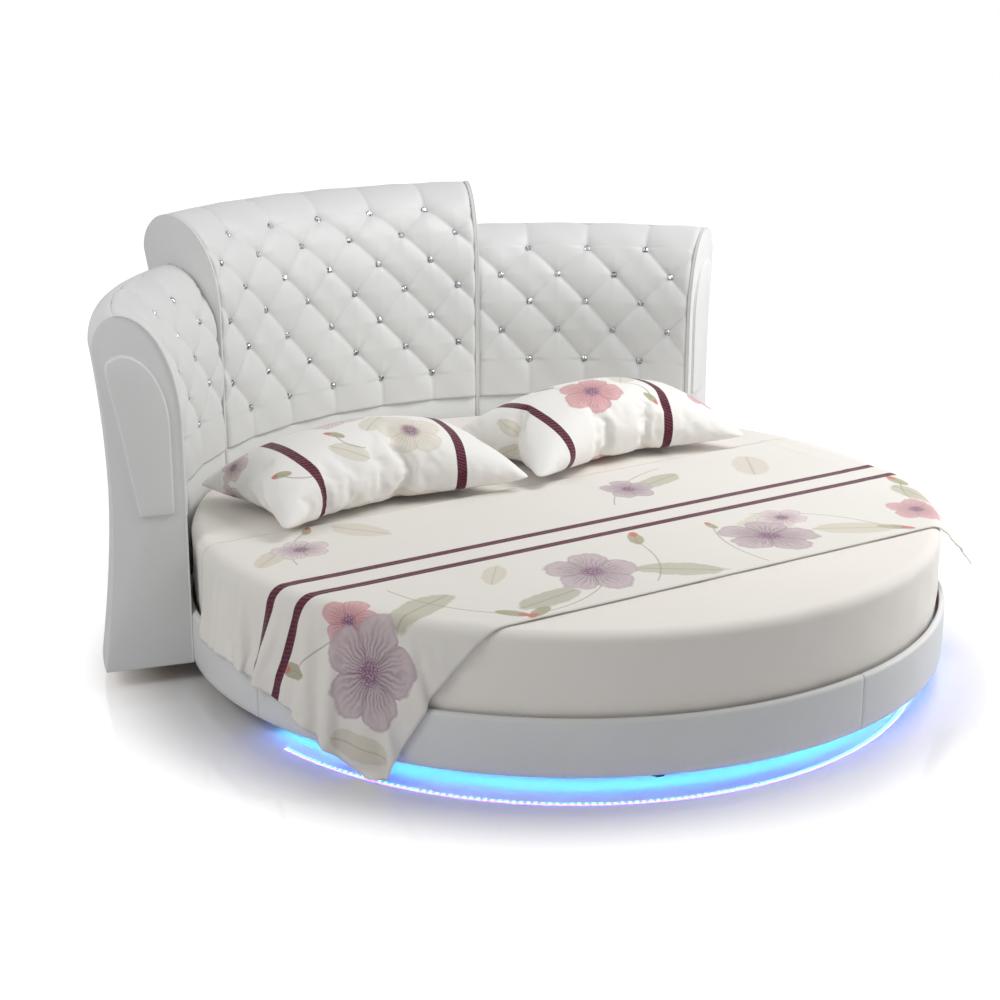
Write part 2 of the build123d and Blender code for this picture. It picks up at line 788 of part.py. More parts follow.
# Pillows: crowned, with sides that draw in between the corners
def pillow(place_shares, turn):
    """Adds one pillow to the open part, resting on the cover."""
    across, along = (mattress_radius * share for share in place_shares)
    rest = Plane(origin=(across, along, cover_top + seat_gap),
                 x_dir=(cos(radians(turn)), sin(radians(turn)), 0))
    sections_along = []
    shares = zip(pillow_station_shares, pillow_depth_shares, pillow_thick_shares)
    for station, depth, thick in shares:
        half = depth * pillow_depth / 2
        rise = thick * pillow_thick
        side_plane = Plane(origin=rest.from_local_coords(Vector(station * pillow_length, 0, 0)),
                           x_dir=rest.y_dir, z_dir=rest.x_dir)
        sections_along.append([
            side_plane.from_local_coords(Vector(half * across, rise * up, 0))
            for across, up in pillow_outline_shares
        ])
    add(faceted(sections_along))


for side_name, place_shares, turn in (
    ("left", pillow_left_shares, pillow_left_turn),
    ("right", pillow_right_shares, pillow_right_turn),
):
    with BuildPart() as pillow_part:
        pillow(place_shares, turn)
    save(pillow_part, f"pillow_{side_name}")
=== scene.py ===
# %% [markdown]
# A round bed with a curved, button-tufted headboard, a ribboned cover and two pillows. The packed
# CAD model is the fixed frame: every piece below is placed from its sizes, in metres, and hard
# parts that are right already only get a finish. Soft parts are made again here, because foam and
# cloth need more shape than a CAD solid gives them.

# %% Load the frame
import json
import math
import bmesh
import bpy
import numpy as np
from mathutils import Matrix, Vector


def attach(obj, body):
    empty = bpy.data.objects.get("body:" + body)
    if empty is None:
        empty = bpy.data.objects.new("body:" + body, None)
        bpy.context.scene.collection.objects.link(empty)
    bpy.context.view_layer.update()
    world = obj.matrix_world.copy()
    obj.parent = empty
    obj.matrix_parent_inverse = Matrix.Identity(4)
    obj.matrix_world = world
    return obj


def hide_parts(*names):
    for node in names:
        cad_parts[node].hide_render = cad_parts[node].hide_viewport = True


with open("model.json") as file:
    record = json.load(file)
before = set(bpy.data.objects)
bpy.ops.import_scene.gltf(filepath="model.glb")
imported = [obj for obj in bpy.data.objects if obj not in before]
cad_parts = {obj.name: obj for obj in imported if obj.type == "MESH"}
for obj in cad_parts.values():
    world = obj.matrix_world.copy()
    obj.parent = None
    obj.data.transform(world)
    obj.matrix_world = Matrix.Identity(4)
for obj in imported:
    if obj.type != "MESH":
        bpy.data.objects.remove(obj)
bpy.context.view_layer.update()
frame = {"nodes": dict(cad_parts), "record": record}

# %% [markdown]
# A few small helpers make every shape here. Angles count from the headboard's middle, clockwise
# seen from above, as they do in the CAD. A grid of points becomes a mesh whose UV map holds real
# metres on the cloth or hide, so a pattern keeps its scale however the piece bends.

# %% Helpers for points and meshes
def ring_point(radius, angle, height):
    turn = np.radians(angle)
    return np.stack(np.broadcast_arrays(radius * np.sin(turn), radius * np.cos(turn), height), -1)


def smooth_step(low, high, value):
    share = np.clip((value - low) / (high - low), 0, 1)
    return share * share * (3 - 2 * share)


def mesh_piece(name, points, faces, uv=None, smooth=True, caps=()):
    """A new object from arrays of points and faces, and any many-sided faces that cap its ends."""
    mesh = bpy.data.meshes.new(name)
    mesh.from_pydata(points.tolist(), [], faces.tolist() + [list(cap) for cap in caps])
    if uv is not None:
        layer = mesh.uv_layers.new(name="cloth")
        corners = np.empty(len(mesh.loops), dtype=np.int32)
        mesh.loops.foreach_get("vertex_index", corners)
        layer.data.foreach_set("uv", uv[corners].ravel())
    mesh.polygons.foreach_set("use_smooth", [smooth] * len(mesh.polygons))
    mesh.update()
    piece = bpy.data.objects.new(name, mesh)
    bpy.context.scene.collection.objects.link(piece)
    return piece


def grid_faces(across, along, start=0, closed=False):
    """Quads of a grid with across by along points, numbered row by row."""
    i = np.arange(across if closed else across - 1)[:, None]
    j = np.arange(along - 1)[None, :]
    a, b = i * along + j, ((i + 1) % across) * along + j
    return np.stack([a, b, b + 1, a + 1], -1).reshape(-1, 4) + start


def rim_faces(across, along, other):
    """Quads that join the edge of one grid to the edge of an equal grid that starts at other."""
    edge = [i * along for i in range(across)] + [(across - 1) * along + j for j in range(1, along)]
    edge += [i * along + along - 1 for i in range(across - 2, -1, -1)]
    edge = np.array(edge + list(range(along - 2, 0, -1)))
    turned = np.roll(edge, -1)
    return np.stack([turned, edge, edge + other, turned + other], -1)


def tidy_normals(piece):
    """Turns every face of a closed piece outwards."""
    shape = bmesh.new()
    shape.from_mesh(piece.data)
    bmesh.ops.recalc_face_normals(shape, faces=shape.faces)
    shape.to_mesh(piece.data)
    shape.free()


# %% [markdown]
# A material here is a Principled shader whose colour, roughness and bump come from nodes. These
# helpers keep the node code short: one makes the shader, one does a sum, and one turns a value into
# a bump.

# %% Helpers for materials
class Finish:
    """One material and the nodes that it is made of."""

    def __init__(self, name, roughness=0.5, **sockets):
        self.material = bpy.data.materials.new(name)
        self.material.use_nodes = True
        self.tree = self.material.node_tree
        self.shader = self.tree.nodes["Principled BSDF"]
        self.shader.inputs["Roughness"].default_value = roughness
        for socket, value in sockets.items():
            self.shader.inputs[socket.replace("_", " ")].default_value = value

    def node(self, kind, **settings):
        made = self.tree.nodes.new("ShaderNode" + kind)
        for key, value in settings.items():
            setattr(made, key, value)
        return made

    def link(self, source, target):
        if isinstance(source, (int, float)):
            target.default_value = source
        elif isinstance(source, tuple):
            target.default_value = source if len(source) == 4 or target.type == "VECTOR" else (*source, 1)
        else:
            self.tree.links.new(source, target)

    def sum(self, operation, *values):
        made = self.node("Math", operation=operation)
        for value, target in zip(values, made.inputs):
            self.link(value, target)
        return made.outputs[0]

    def place(self, scale=(1, 1, 1), uv=False):
        """The point on the piece, in metres, or on its cloth."""
        source = self.node("TexCoord")
        mapping = self.node("Mapping")
        self.link(source.outputs["UV" if uv else "Object"], mapping.inputs["Vector"])
        mapping.inputs["Scale"].default_value = scale
        return mapping.outputs[0]

    def noise(self, vector, scale, detail=3.0):
        made = self.node("TexNoise")
        self.link(vector, made.inputs["Vector"])
        made.inputs["Scale"].default_value = scale
        made.inputs["Detail"].default_value = detail
        return made.outputs["Fac"]

    def mix(self, factor, first, second):
        made = self.node("Mix", data_type="RGBA")
        self.link(factor, made.inputs["Factor"])
        self.link(first, made.inputs[6])
        self.link(second, made.inputs[7])
        return made.outputs[2]

    def ramp(self, value, low, high):
        made = self.node("MapRange", interpolation_type="SMOOTHSTEP")
        self.link(value, made.inputs["Value"])
        self.link(low, made.inputs["From Min"])
        self.link(high, made.inputs["From Max"])
        return made.outputs["Result"]

    def colour(self, source):
        self.link(source, self.shader.inputs["Base Color"])
        return self

    def rough(self, source):
        self.link(source, self.shader.inputs["Roughness"])
        return self

    def bump(self, height, distance, strength=1.0):
        made = self.node("Bump")
        made.inputs["Distance"].default_value = distance
        made.inputs["Strength"].default_value = strength
        self.link(height, made.inputs["Height"])
        old = self.shader.inputs["Normal"]
        if old.is_linked:
            self.link(old.links[0].from_socket, made.inputs["Normal"])
        self.link(made.outputs[0], old)
        return self


# %% [markdown]
# The bed is covered in a pale, slightly cool leatherette. Real hide has fine pebbled cells, and its
# colour drifts a little from panel to panel. A Voronoi texture gives the cells, and a slow noise
# gives the drift.

# %% Leatherette
def make_leatherette():
    finish = Finish("leatherette", roughness=0.42, Specular_IOR_Level=0.42)
    point = finish.place()
    drift = finish.noise(point, 5.0)
    cells = finish.node("TexVoronoi")
    cells.inputs["Scale"].default_value = 520.0
    finish.link(point, cells.inputs["Vector"])
    finish.colour(finish.mix(drift, (0.69, 0.70, 0.695), (0.745, 0.75, 0.74)))
    finish.rough(finish.sum("MULTIPLY_ADD", finish.noise(point, 90.0), 0.16, 0.36))
    finish.bump(cells.outputs["Distance"], 0.0006, 0.35)
    finish.bump(finish.noise(point, 28.0), 0.0025, 0.25)
    return finish.material


leatherette = make_leatherette()

# %% [markdown]
# Under the covers are ordinary furniture materials: birch plywood, planed beech, zinc-plated steel,
# aluminium and moulded plastic. They hardly show, but each one still gets its own grain or
# brushing.

# %% Hidden and hard materials
def make_wood(name, light, dark, grain, layers=0.0):
    finish = Finish(name, roughness=0.55)
    point = finish.place((grain, grain * 0.06, grain))
    rings = finish.node("TexWave", wave_type="BANDS")
    rings.inputs["Scale"].default_value = 3.0
    rings.inputs["Distortion"].default_value = 5.0
    rings.inputs["Detail"].default_value = 3.0
    finish.link(point, rings.inputs["Vector"])
    tone = finish.mix(rings.outputs["Fac"], light, dark)
    if layers:
        ply = finish.node("TexWave", wave_type="BANDS", bands_direction="Z")
        ply.inputs["Scale"].default_value = layers
        finish.link(finish.place(), ply.inputs["Vector"])
        tone = finish.mix(finish.sum("MULTIPLY", ply.outputs["Fac"], 0.35), tone, dark)
    finish.colour(tone).rough(finish.sum("MULTIPLY_ADD", rings.outputs["Fac"], 0.12, 0.5))
    finish.bump(rings.outputs["Fac"], 0.0004, 0.4)
    return finish.material


def make_metal(name, tone, roughness):
    finish = Finish(name, roughness=roughness, Metallic=1.0)
    point = finish.place((1, 1, 30))
    brushed = finish.noise(point, 60.0, 4.0)
    finish.colour(finish.mix(brushed, tone, tuple(0.82 * part for part in tone)))
    finish.rough(finish.sum("MULTIPLY_ADD", brushed, 0.2, roughness))
    finish.bump(brushed, 0.0002, 0.3)
    return finish.material


def make_plastic(name, tone, roughness):
    finish = Finish(name, roughness=roughness)
    point = finish.place()
    stipple = finish.noise(point, 700.0)
    finish.colour(finish.mix(finish.noise(point, 12.0), tone, tuple(1.25 * part for part in tone)))
    finish.rough(finish.sum("MULTIPLY_ADD", stipple, 0.15, roughness))
    finish.bump(stipple, 0.0003, 0.4)
    return finish.material


plywood = make_wood("plywood", (0.66, 0.50, 0.31), (0.50, 0.34, 0.19), 14.0, 110.0)
beech = make_wood("beech", (0.70, 0.50, 0.32), (0.55, 0.36, 0.21), 10.0)
foot_lacquer = make_wood("foot_lacquer", (0.035, 0.03, 0.03), (0.02, 0.018, 0.018), 10.0)
zinc_steel = make_metal("zinc_steel", (0.55, 0.56, 0.58), 0.28)
channel_aluminium = make_metal("channel_aluminium", (0.72, 0.73, 0.75), 0.3)
black_plastic = make_plastic("black_plastic", (0.022, 0.022, 0.025), 0.4)

# %% [markdown]
# The light strip is clear silicone over a row of diodes, 60 to the metre. A saw-tooth of the angle
# round the bed puts one bright dot in each 16.7 mm. The diodes face the floor and light it cyan,
# and the sides of the silicone scatter a violet glow, so the face's own normal decides which of the
# two colours a face gives.

# %% Light strip
diode_pitch = 1 / 60
strip_radius = 0.949
diode_strength, between_strength, side_strength = 42.0, 1.2, 60.0
cyan, violet = (0.08, 0.62, 1.0), (0.16, 0.04, 1.0)


def make_light_strip():
    finish = Finish("light_strip", roughness=0.2)
    parts = finish.node("SeparateXYZ")
    finish.link(finish.place(), parts.inputs[0])
    turn = finish.sum("ARCTAN2", parts.outputs["X"], parts.outputs["Y"])
    along = finish.sum("FRACT", finish.sum("MULTIPLY", turn, strip_radius / diode_pitch))
    dot = finish.ramp(finish.sum("ABSOLUTE", finish.sum("SUBTRACT", along, 0.5)), 0.32, 0.12)
    facing = finish.node("SeparateXYZ")
    finish.link(finish.node("NewGeometry").outputs["True Normal"], facing.inputs[0])
    down = finish.ramp(facing.outputs["Z"], -0.3, -0.7)
    below = finish.sum("MULTIPLY", finish.sum("MULTIPLY_ADD", dot, diode_strength, between_strength), down)
    beside = finish.sum("MULTIPLY", finish.sum("SUBTRACT", 1.0, down), side_strength)
    finish.colour((0.5, 0.8, 1.0))
    finish.link(finish.mix(down, violet, cyan), finish.shader.inputs["Emission Color"])
    finish.link(finish.sum("ADD", below, beside), finish.shader.inputs["Emission Strength"])
    return finish.material


light_strip = make_light_strip()

# %% [markdown]
# Every CAD node gets the finish of its slot in the record, or leatherette. Those that are made
# again below are hidden later.

# %% Finish the CAD nodes
plain_finishes = {
    "leatherette": leatherette, "plywood": plywood, "beech": beech, "zinc_steel": zinc_steel,
    "foot_lacquer": foot_lacquer, "black_plastic": black_plastic, "channel_aluminium": channel_aluminium,
    "light_strip": light_strip,
}
for part in frame["record"]["subparts"]:
    node = frame["nodes"][part["node"]]
    node.data.materials.clear()
    node.data.materials.append(plain_finishes.get(part["material_slot"], leatherette))

# %% [markdown]
# The headboard has three sections. Each front stands upright behind the mattress and then rolls
# away in a quarter ellipse, like the arm of a chesterfield. Buttons sit in staggered rows, so the
# pleats between them make diamonds.

# %% Sizes of the headboard
pad_radius, core_depth, band_top = 1.014, 0.0395, 0.4405
button_pitch = 9.89
half_centre, wing_end = 28.5, 66.6
end_cut, inner_cut = 0.0125, 0.0008
centre_top, centre_rise, centre_run = 1.108, 0.270, 0.166
wing_top, wing_rise, wing_run = 0.972, 0.290, 0.156


class HeadboardSection:
    """One padded section: where it stands, its roll and its rows of buttons."""

    def __init__(self, name, start, end, cuts, top, rise, run, rows, counts):
        self.name, self.start, self.end, self.cuts = name, start, end, cuts
        self.top, self.rise, self.run = top, rise, run
        self.rows, self.counts = rows, counts
        self.middle = (start + end) / 2
        self.crest = pad_radius + run
        self.build_path()

    def build_path(self):
        """Samples the front from its foot to the crest, evenly along its length."""
        shoulder = self.top - self.rise
        turn = np.linspace(0, math.pi / 2, 400)
        radius = np.r_[pad_radius, self.crest - self.run * np.cos(turn)]
        height = np.r_[band_top, shoulder + self.rise * np.sin(turn)]
        out_r = np.r_[-1.0, -np.cos(turn) / self.run]
        out_z = np.r_[0.0, np.sin(turn) / self.rise]
        size = np.hypot(out_r, out_z)
        length = np.r_[0, np.cumsum(np.hypot(np.diff(radius), np.diff(height)))]
        self.path = (length, radius, height, out_r / size, out_z / size)
        self.length = length[-1]

    def at(self, length):
        return [np.interp(length, self.path[0], values) for values in self.path[1:]]

    def length_at(self, height):
        return float(np.interp(height, self.path[2], self.path[0]))


centre_heights = (1.043, 0.972, 0.889, 0.804, 0.712, 0.621, 0.528)
wing_heights = (0.910, 0.830, 0.744, 0.653, 0.556)
centre_counts, wing_counts = (5, 6, 5, 6, 5, 6, 5), (3, 4, 3, 4, 3)
centre = HeadboardSection(
    "centre", -half_centre, half_centre, (end_cut, end_cut), centre_top, centre_rise, centre_run,
    centre_heights, centre_counts,
)
left_wing = HeadboardSection(
    "left_wing", -wing_end, -half_centre, (end_cut, inner_cut), wing_top, wing_rise, wing_run,
    wing_heights, wing_counts,
)
right_wing = HeadboardSection(
    "right_wing", half_centre, wing_end, (inner_cut, end_cut), wing_top, wing_rise, wing_run,
    wing_heights, wing_counts,
)
headboard = (centre, left_wing, right_wing)
print("lengths up the fronts", [round(float(section.length), 3) for section in headboard])

# %% [markdown]
# Deep tufting could be simulated, but pulling foam down at 72 buttons is slow and hard to steer.
# The shape is regular, so it is worked out instead. In coordinates that run along the diamonds,
# every button falls on a whole number and every pleat on a whole-number line. The foam swells like
# a shallow dome between the lines, the pleats are deepest at the buttons, and above and below the
# diamonds they run on as upright folds.

# %% Depth of the tufting
pad_spacing, button_depth, pleat_depth, fold_depth = 0.0052, 0.024, 0.0105, 0.0085
fold_fade, hide_ripple, front_proud = 0.030, 0.0006, 0.0025
side_roll, foot_roll, crest_roll = (0.020, 0.0085), (0.006, 0.002), (0.012, 0.004)


def dome(share):
    """0 at a pleat and 1 in the middle of a puff, with a crease at the pleat."""
    reach = 1 - 2 * np.clip(share, 0, 0.5)
    return (1 - np.clip(reach, 0, 1) ** 2.1) ** 0.72


def edge_distance(value):
    return np.abs(value - np.round(value))


def tufting_depth(section, turn, length, seed):
    """How far the hide lies below the plain front, from the angle and the length up the front."""
    across = (turn - section.middle) / button_pitch
    marks = [section.length_at(height) for height in section.rows]
    row = np.interp(-length, [-mark for mark in marks], range(len(marks)))
    last = len(marks) - 1
    first, second = across + row / 2, across - row / 2
    near_first, near_second = edge_distance(first), edge_distance(second)
    along_first = pleat_depth + (button_depth - pleat_depth) * (1 - 2 * near_second) ** 3
    along_second = pleat_depth + (button_depth - pleat_depth) * (1 - 2 * near_first) ** 3
    diamonds = np.maximum(along_first * (1 - dome(near_first)), along_second * (1 - dome(near_second)))
    beyond = np.maximum(np.maximum(length - marks[0], marks[last] - length), 0)
    fold_line = edge_distance(across)
    fade = np.exp(-beyond / fold_fade)
    fold = (fold_depth + (button_depth - fold_depth) * fade) * (1 - dome(fold_line) ** (0.6 + 0.4 * fade))
    depth = np.where(beyond > 0, fold, diamonds)
    wave = np.random.default_rng(seed).uniform(0, 6.28, 6)
    ripple = np.sin(across * 5.1 + wave[0]) * np.sin(length * 31 + wave[1])
    ripple = ripple + np.sin(across * 9.7 + length * 47 + wave[2])
    return depth + hide_ripple * ripple


def front_points(section, seed):
    """The outer and inner grids of one tufted pad, and the cloth coordinates."""
    width = math.radians(section.end - section.start) * pad_radius
    share = np.linspace(0, 1, int(width / pad_spacing) + 1)[:, None]
    length = np.linspace(0, section.length, int(section.length / pad_spacing) + 1)[None, :]
    radius, height, out_r, out_z = section.at(length)
    low = section.start + np.degrees(np.arcsin(section.cuts[0] / radius))
    high = section.end - np.degrees(np.arcsin(section.cuts[1] / radius))
    turn = low + (high - low) * share
    depth = tufting_depth(section, turn, length, seed)
    for gap, (reach, drop) in (
        (share * width, side_roll), ((1 - share) * width, side_roll),
        (length, foot_roll), (section.length - length, crest_roll),
    ):
        near = np.clip(1 - gap / reach, 0, 1)
        depth = depth + drop * (1 - np.sqrt(1 - 0.96 * near * near))
    depth = depth - front_proud
    outer = ring_point(radius - out_r * depth, turn, height - out_z * depth)
    inner = ring_point(radius - out_r * core_depth, turn, height - out_z * core_depth)
    flat = np.stack(np.broadcast_arrays(share * width, length), -1)
    return outer, inner, flat


# %% [markdown]
# Each pad is one closed mesh: the tufted front, a plain back against the board, and a rim that
# joins them.

# %% Tufted pads
def make_tufted_pad(section, seed):
    outer, inner, flat = front_points(section, seed)
    across, along = outer.shape[:2]
    count = across * along
    faces = np.concatenate([
        grid_faces(across, along), grid_faces(across, along, count)[:, ::-1], rim_faces(across, along, count),
    ])
    points = np.concatenate([outer.reshape(-1, 3), inner.reshape(-1, 3)])
    uv = np.concatenate([flat.reshape(-1, 2)] * 2)
    pad = mesh_piece(f"{section.name}_tufting", points, faces[:, ::-1], uv)
    pad.data.materials.append(leatherette)
    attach(pad, "bed")
    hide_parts(f"{section.name}_tufted_pad")
    print(pad.name, len(points), "points")


for place, section in enumerate(headboard):
    make_tufted_pad(section, 11 + place)

# %% [markdown]
# The buttons are cut crystals with a silvered back. Flat facets matter more than transparency at
# this size, so each stone is a faceted crown in a thin silver cup, and each facet gets its own
# painted tone, bright or dark at random: a painted reflection for the glints a real cut stone shows.

# %% Crystal material
def make_crystal():
    finish = Finish("crystal", roughness=0.05, Metallic=0.85, Coat_Weight=1.0, Coat_Roughness=0.03)
    # Each facet's tone and a fine noise paint bright and dark reflections into the base colour, standing in
    # for the glints of the facets.
    tone = finish.node("Attribute", attribute_name="facet_painted_reflection")
    painted_glint_and_rough_noise = finish.noise(finish.place(), 900.0, 1.0)
    shade = finish.sum("MULTIPLY", tone.outputs["Fac"], finish.sum("MULTIPLY_ADD", painted_glint_and_rough_noise, 0.5, 0.75))
    finish.colour(finish.mix(shade, (0.05, 0.055, 0.065), (0.95, 0.96, 1.0)))
    finish.rough(finish.sum("MULTIPLY_ADD", painted_glint_and_rough_noise, 0.08, 0.03))
    return finish.material


crystal = make_crystal()

# %% [markdown]
# A stone is a few rings of eight points, each ring smaller and higher, every second one turned by
# half a facet, so the triangles between them are its facets. The first two bands are the cup. One
# stone is copied to each button.

# %% Crystal buttons
stone_radius, stone_sides, stone_sink = 0.0108, 8, 0.0105
stone_rings = (
    (1.0, 0.0, -0.0040), (1.0, 0.0, 0.0012), (0.90, 0.0, 0.0016),
    (0.86, 0.5, 0.0022), (0.70, 0.0, 0.0046), (0.42, 0.5, 0.0062),
)
cup_faces = 2 * 2 * stone_sides


def crystal_template():
    """Points and triangles of one stone in its cup, facing along +Z."""
    points, triangles = [], []
    for share, shift, height in stone_rings:
        turn = (np.arange(stone_sides) + shift) * 2 * math.pi / stone_sides
        size = share * stone_radius
        points.append(np.stack([size * np.cos(turn), size * np.sin(turn), np.full(stone_sides, height)], -1))
    for level, (lower, upper) in enumerate(zip(stone_rings, stone_rings[1:])):
        a, b = level * stone_sides, (level + 1) * stone_sides
        for i in range(stone_sides):
            j = (i + 1) % stone_sides
            if lower[1] == upper[1]:
                triangles += [(a + i, a + j, b + j), (a + i, b + j, b + i)]
            elif lower[1] > upper[1]:
                triangles += [(a + i, b + j, b + i), (a + i, a + j, b + j)]
            else:
                triangles += [(a + i, a + j, b + i), (a + j, b + j, b + i)]
    tip = len(stone_rings) * stone_sides
    points = np.concatenate([*points, [[0, 0, stone_rings[-1][2]]]])
    ring = tip - stone_sides
    triangles += [(ring + i, ring + (i + 1) % stone_sides, tip) for i in range(stone_sides)]
    return points, np.array(triangles)


def make_buttons(section, seed):
    stone, stone_faces = crystal_template()
    dice = np.random.default_rng(seed)
    points, faces, painted_facet_reflections = [], [], []
    for height, count in zip(section.rows, section.counts):
        radius, level, out_r, out_z = (float(value) for value in section.at(section.length_at(height)))
        for place in range(count):
            turn = section.middle + (place - (count - 1) / 2) * button_pitch
            out = Vector(ring_point(out_r, turn, out_z))
            side = Vector(ring_point(1.0, turn + 90, 0.0))
            up = out.cross(side)
            seat = Vector(ring_point(radius, turn, level)) - out * (button_depth - stone_sink)
            spin = dice.uniform(0, math.pi / 4)
            basis = Matrix((side, up, out)).transposed() @ Matrix.Rotation(spin, 3, "Z")
            faces.append(stone_faces + len(stone) * len(points))
            points.append(stone @ np.array(basis).T + np.array(seat))
            # Half the facets get a dark painted reflection and half a bright one; the cup's faces keep one
            # low tone.
            dark = dice.random(len(stone_faces)) < 0.5
            tone = np.where(dark, dice.uniform(0.0, 0.25), dice.uniform(0.45, 0.95, len(stone_faces)))
            tone[:cup_faces] = 0.10
            painted_facet_reflections.append(tone)
    points, faces = np.concatenate(points), np.concatenate(faces)
    buttons = mesh_piece(f"{section.name}_crystals", points, faces, smooth=False)
    tone = buttons.data.attributes.new("facet_painted_reflection", "FLOAT", "FACE")
    tone.data.foreach_set("value", np.concatenate(painted_facet_reflections))
    buttons.data.materials.append(crystal)
    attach(buttons, "bed")
    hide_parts(f"{section.name}_buttons")
    print(buttons.name, sum(section.counts), "stones")


for place, section in enumerate(headboard):
    make_buttons(section, 31 + place)

# %% [markdown]
# The rest of the upholstery is board or foam under stretched leatherette: smooth, with soft edges.
# Two shapes make all of it. One turns a closed outline round the bed between two angles, and the
# other cuts an upright panel out of an outline. Panels and backs get a small bevel, since no
# upholstered edge is sharp.

# %% Turned shells and upright panels
def add_bevel(piece, width):
    bevel = piece.modifiers.new("soft_edge", "BEVEL")
    bevel.width, bevel.segments, bevel.limit_method = width, 3, "ANGLE"
    bevel.angle_limit = math.radians(35.0)


def dress(piece, body, slot, material, *nodes):
    """Gives a piece its material and body, and hides the CAD nodes that it stands for. The slot is not used.
    """
    piece.data.materials.append(material)
    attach(piece, body)
    if nodes:
        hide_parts(*nodes)
    return piece


end_round, end_dip = 0.009, 0.0025


def turned_shell(name, outline, start, end, cuts=(0.0, 0.0), step=1.2):
    """A closed outline of radius and height, turned between two angles, drawn in a little at both ends."""
    outline = np.array(outline)
    inner, outer = outline[:, 0].min(), outline[:, 0].max()
    count = int((end - start) / step) + 1
    share = np.unique(np.r_[np.linspace(0, 1, count), [0.002, 0.006, 0.994, 0.998]])[:, None]
    radius, height = outline[None, :, 0], outline[None, :, 1]
    low = start + np.degrees(np.arcsin(cuts[0] / radius))
    high = end - np.degrees(np.arcsin(cuts[1] / radius))
    width = math.radians(end - start) * outer
    gap = np.minimum(share, 1 - share) * width
    near = np.clip(1 - gap / end_round, 0, 1)
    draw = end_dip * (1 - np.sqrt(1 - near**2)) / max(outer - inner, 1e-6)
    middle = (inner + outer) / 2
    points = ring_point(radius + (middle - radius) * 2 * draw, low + (high - low) * share, height)
    across, along = points.shape[:2]
    caps = (range(0, along * across, across)[::-1], range(across - 1, along * across, across))
    flat = points.transpose(1, 0, 2).reshape(-1, 3)
    piece = mesh_piece(name, flat, grid_faces(along, across, closed=True), caps=caps)
    piece.data.validate()
    tidy_normals(piece)
    return piece


def upright_panel(name, outline, angle, offset, thick, bevel):
    """A flat panel with an outline of radius and height, standing at an angle round the bed."""
    out, side = Vector(ring_point(1.0, angle, 0.0)), Vector(ring_point(1.0, angle + 90, 0.0))
    count = len(outline)
    points = [
        out * r + side * (offset + push) + Vector((0, 0, z)) for push in (0.0, thick) for r, z in outline
    ]
    edge = [(i, i + count, (i + 1) % count + count, (i + 1) % count) for i in range(count)]
    sides = (range(count), range(2 * count - 1, count - 1, -1))
    piece = mesh_piece(name, np.array(points), np.array(edge), caps=sides)
    tidy_normals(piece)
    add_bevel(piece, bevel)
    return piece


# %% [markdown]
# The base is four quarter rails, which meet at seams the photograph shows. Each cover swells by a
# millimetre or so between its edges and turns over the top in a soft round.

# %% Base rails
base_bottom, base_top, base_radius, rail_inner = 0.050, 0.190, 1.020, 1.004
rail_round, rail_lip, rail_swell, rail_seam = 0.011, 0.0038, 0.0010, 0.03


def rail_outline():
    turn = np.linspace(0, math.pi / 2, 8)
    edge = base_radius - 0.001 - rail_round
    top = [(edge + rail_round * math.cos(t), base_top - rail_round + rail_round * math.sin(t)) for t in turn]
    side = [
        (base_radius - 0.0012 + rail_swell * math.sin(math.pi * s), base_bottom + 0.004 + s * 0.124)
        for s in np.linspace(0, 1, 9)[1:-1]
    ]
    inside, cover_back = rail_inner + 0.0003, rail_inner + 0.0085
    return [
        (cover_back, base_bottom), (base_radius - 0.005, base_bottom),
        (base_radius - 0.0022, base_bottom + 0.0025), *side, *top,
        (inside, base_top), (inside, base_top - rail_lip), (cover_back, base_top - rail_lip),
    ]


for quarter, rail_name in enumerate(("head_right", "foot_right", "foot_left", "head_left")):
    start = quarter * 90 + rail_seam
    rail = turned_shell(f"rail_leather_{rail_name}", rail_outline(), start, start + 90 - 2 * rail_seam)
    dress(rail, "bed", "leatherette", leatherette, f"rail_cover_{rail_name}")
print("base rails made")

# %% [markdown]
# Each headboard section has a plain band below its tufting, a cover over its back, and boards at
# its ends. The side view is one outline for all of them: upright front, rolled crest, hollow waist
# and a foot that spreads.

# %% Headboard outlines
front_radius, waist_radius, back_radius, waist_height = 1.021, 1.205, 1.246, 0.490
back_thick, crest_lap, end_thick, centre_end_thick, panel_bevel = 0.0115, 0.040, 0.0118, 0.0116, 0.0035
band_height, band_round, band_thick = 0.440, 0.004, 0.033
back_shapes = {"centre": (0.074, 0.096), "left_wing": (0.062, 0.084), "right_wing": (0.062, 0.084)}
wing_sides = ((left_wing, -wing_end, -1), (right_wing, wing_end, 1))
centre_sides = ((-half_centre, 1, "left"), (half_centre, -1, "right"))


def front_line(section, front, inset, foot):
    """The upright front, and its roll up to the crest."""
    shoulder, run = section.top - section.rise, section.crest - front
    return [(front, foot)] + [
        (section.crest - run * math.cos(t), shoulder + (section.rise - inset) * math.sin(t))
        for t in np.linspace(0, math.pi / 2, 28)
    ]


def back_line(section, inset, top_inset):
    """The hollow back, which spreads to the foot a little fuller than the curve of the formers inside it."""
    run, drop = back_shapes[section.name]
    shoulder, shoulder_height = section.crest + run, section.top - drop
    line = []
    for height in np.linspace(base_bottom, shoulder_height, 16):
        low = max(0.0, (height - waist_height) / (base_bottom - waist_height))
        high = max(0.0, (height - waist_height) / (shoulder_height - waist_height))
        spread = low**1.6 * (back_radius - waist_radius) + high**2 * (shoulder - waist_radius)
        line.append((waist_radius + spread - inset, height))
    for t in np.linspace(0, math.pi / 2, 12)[1:]:
        radius = section.crest + (run - inset) * math.cos(t)
        line.append((radius, shoulder_height + (drop - top_inset) * math.sin(t)))
    return line


def side_outline(section):
    front = front_line(section, front_radius, 0.0, base_bottom)
    return front + back_line(section, 0.0, 0.0)[-2::-1]


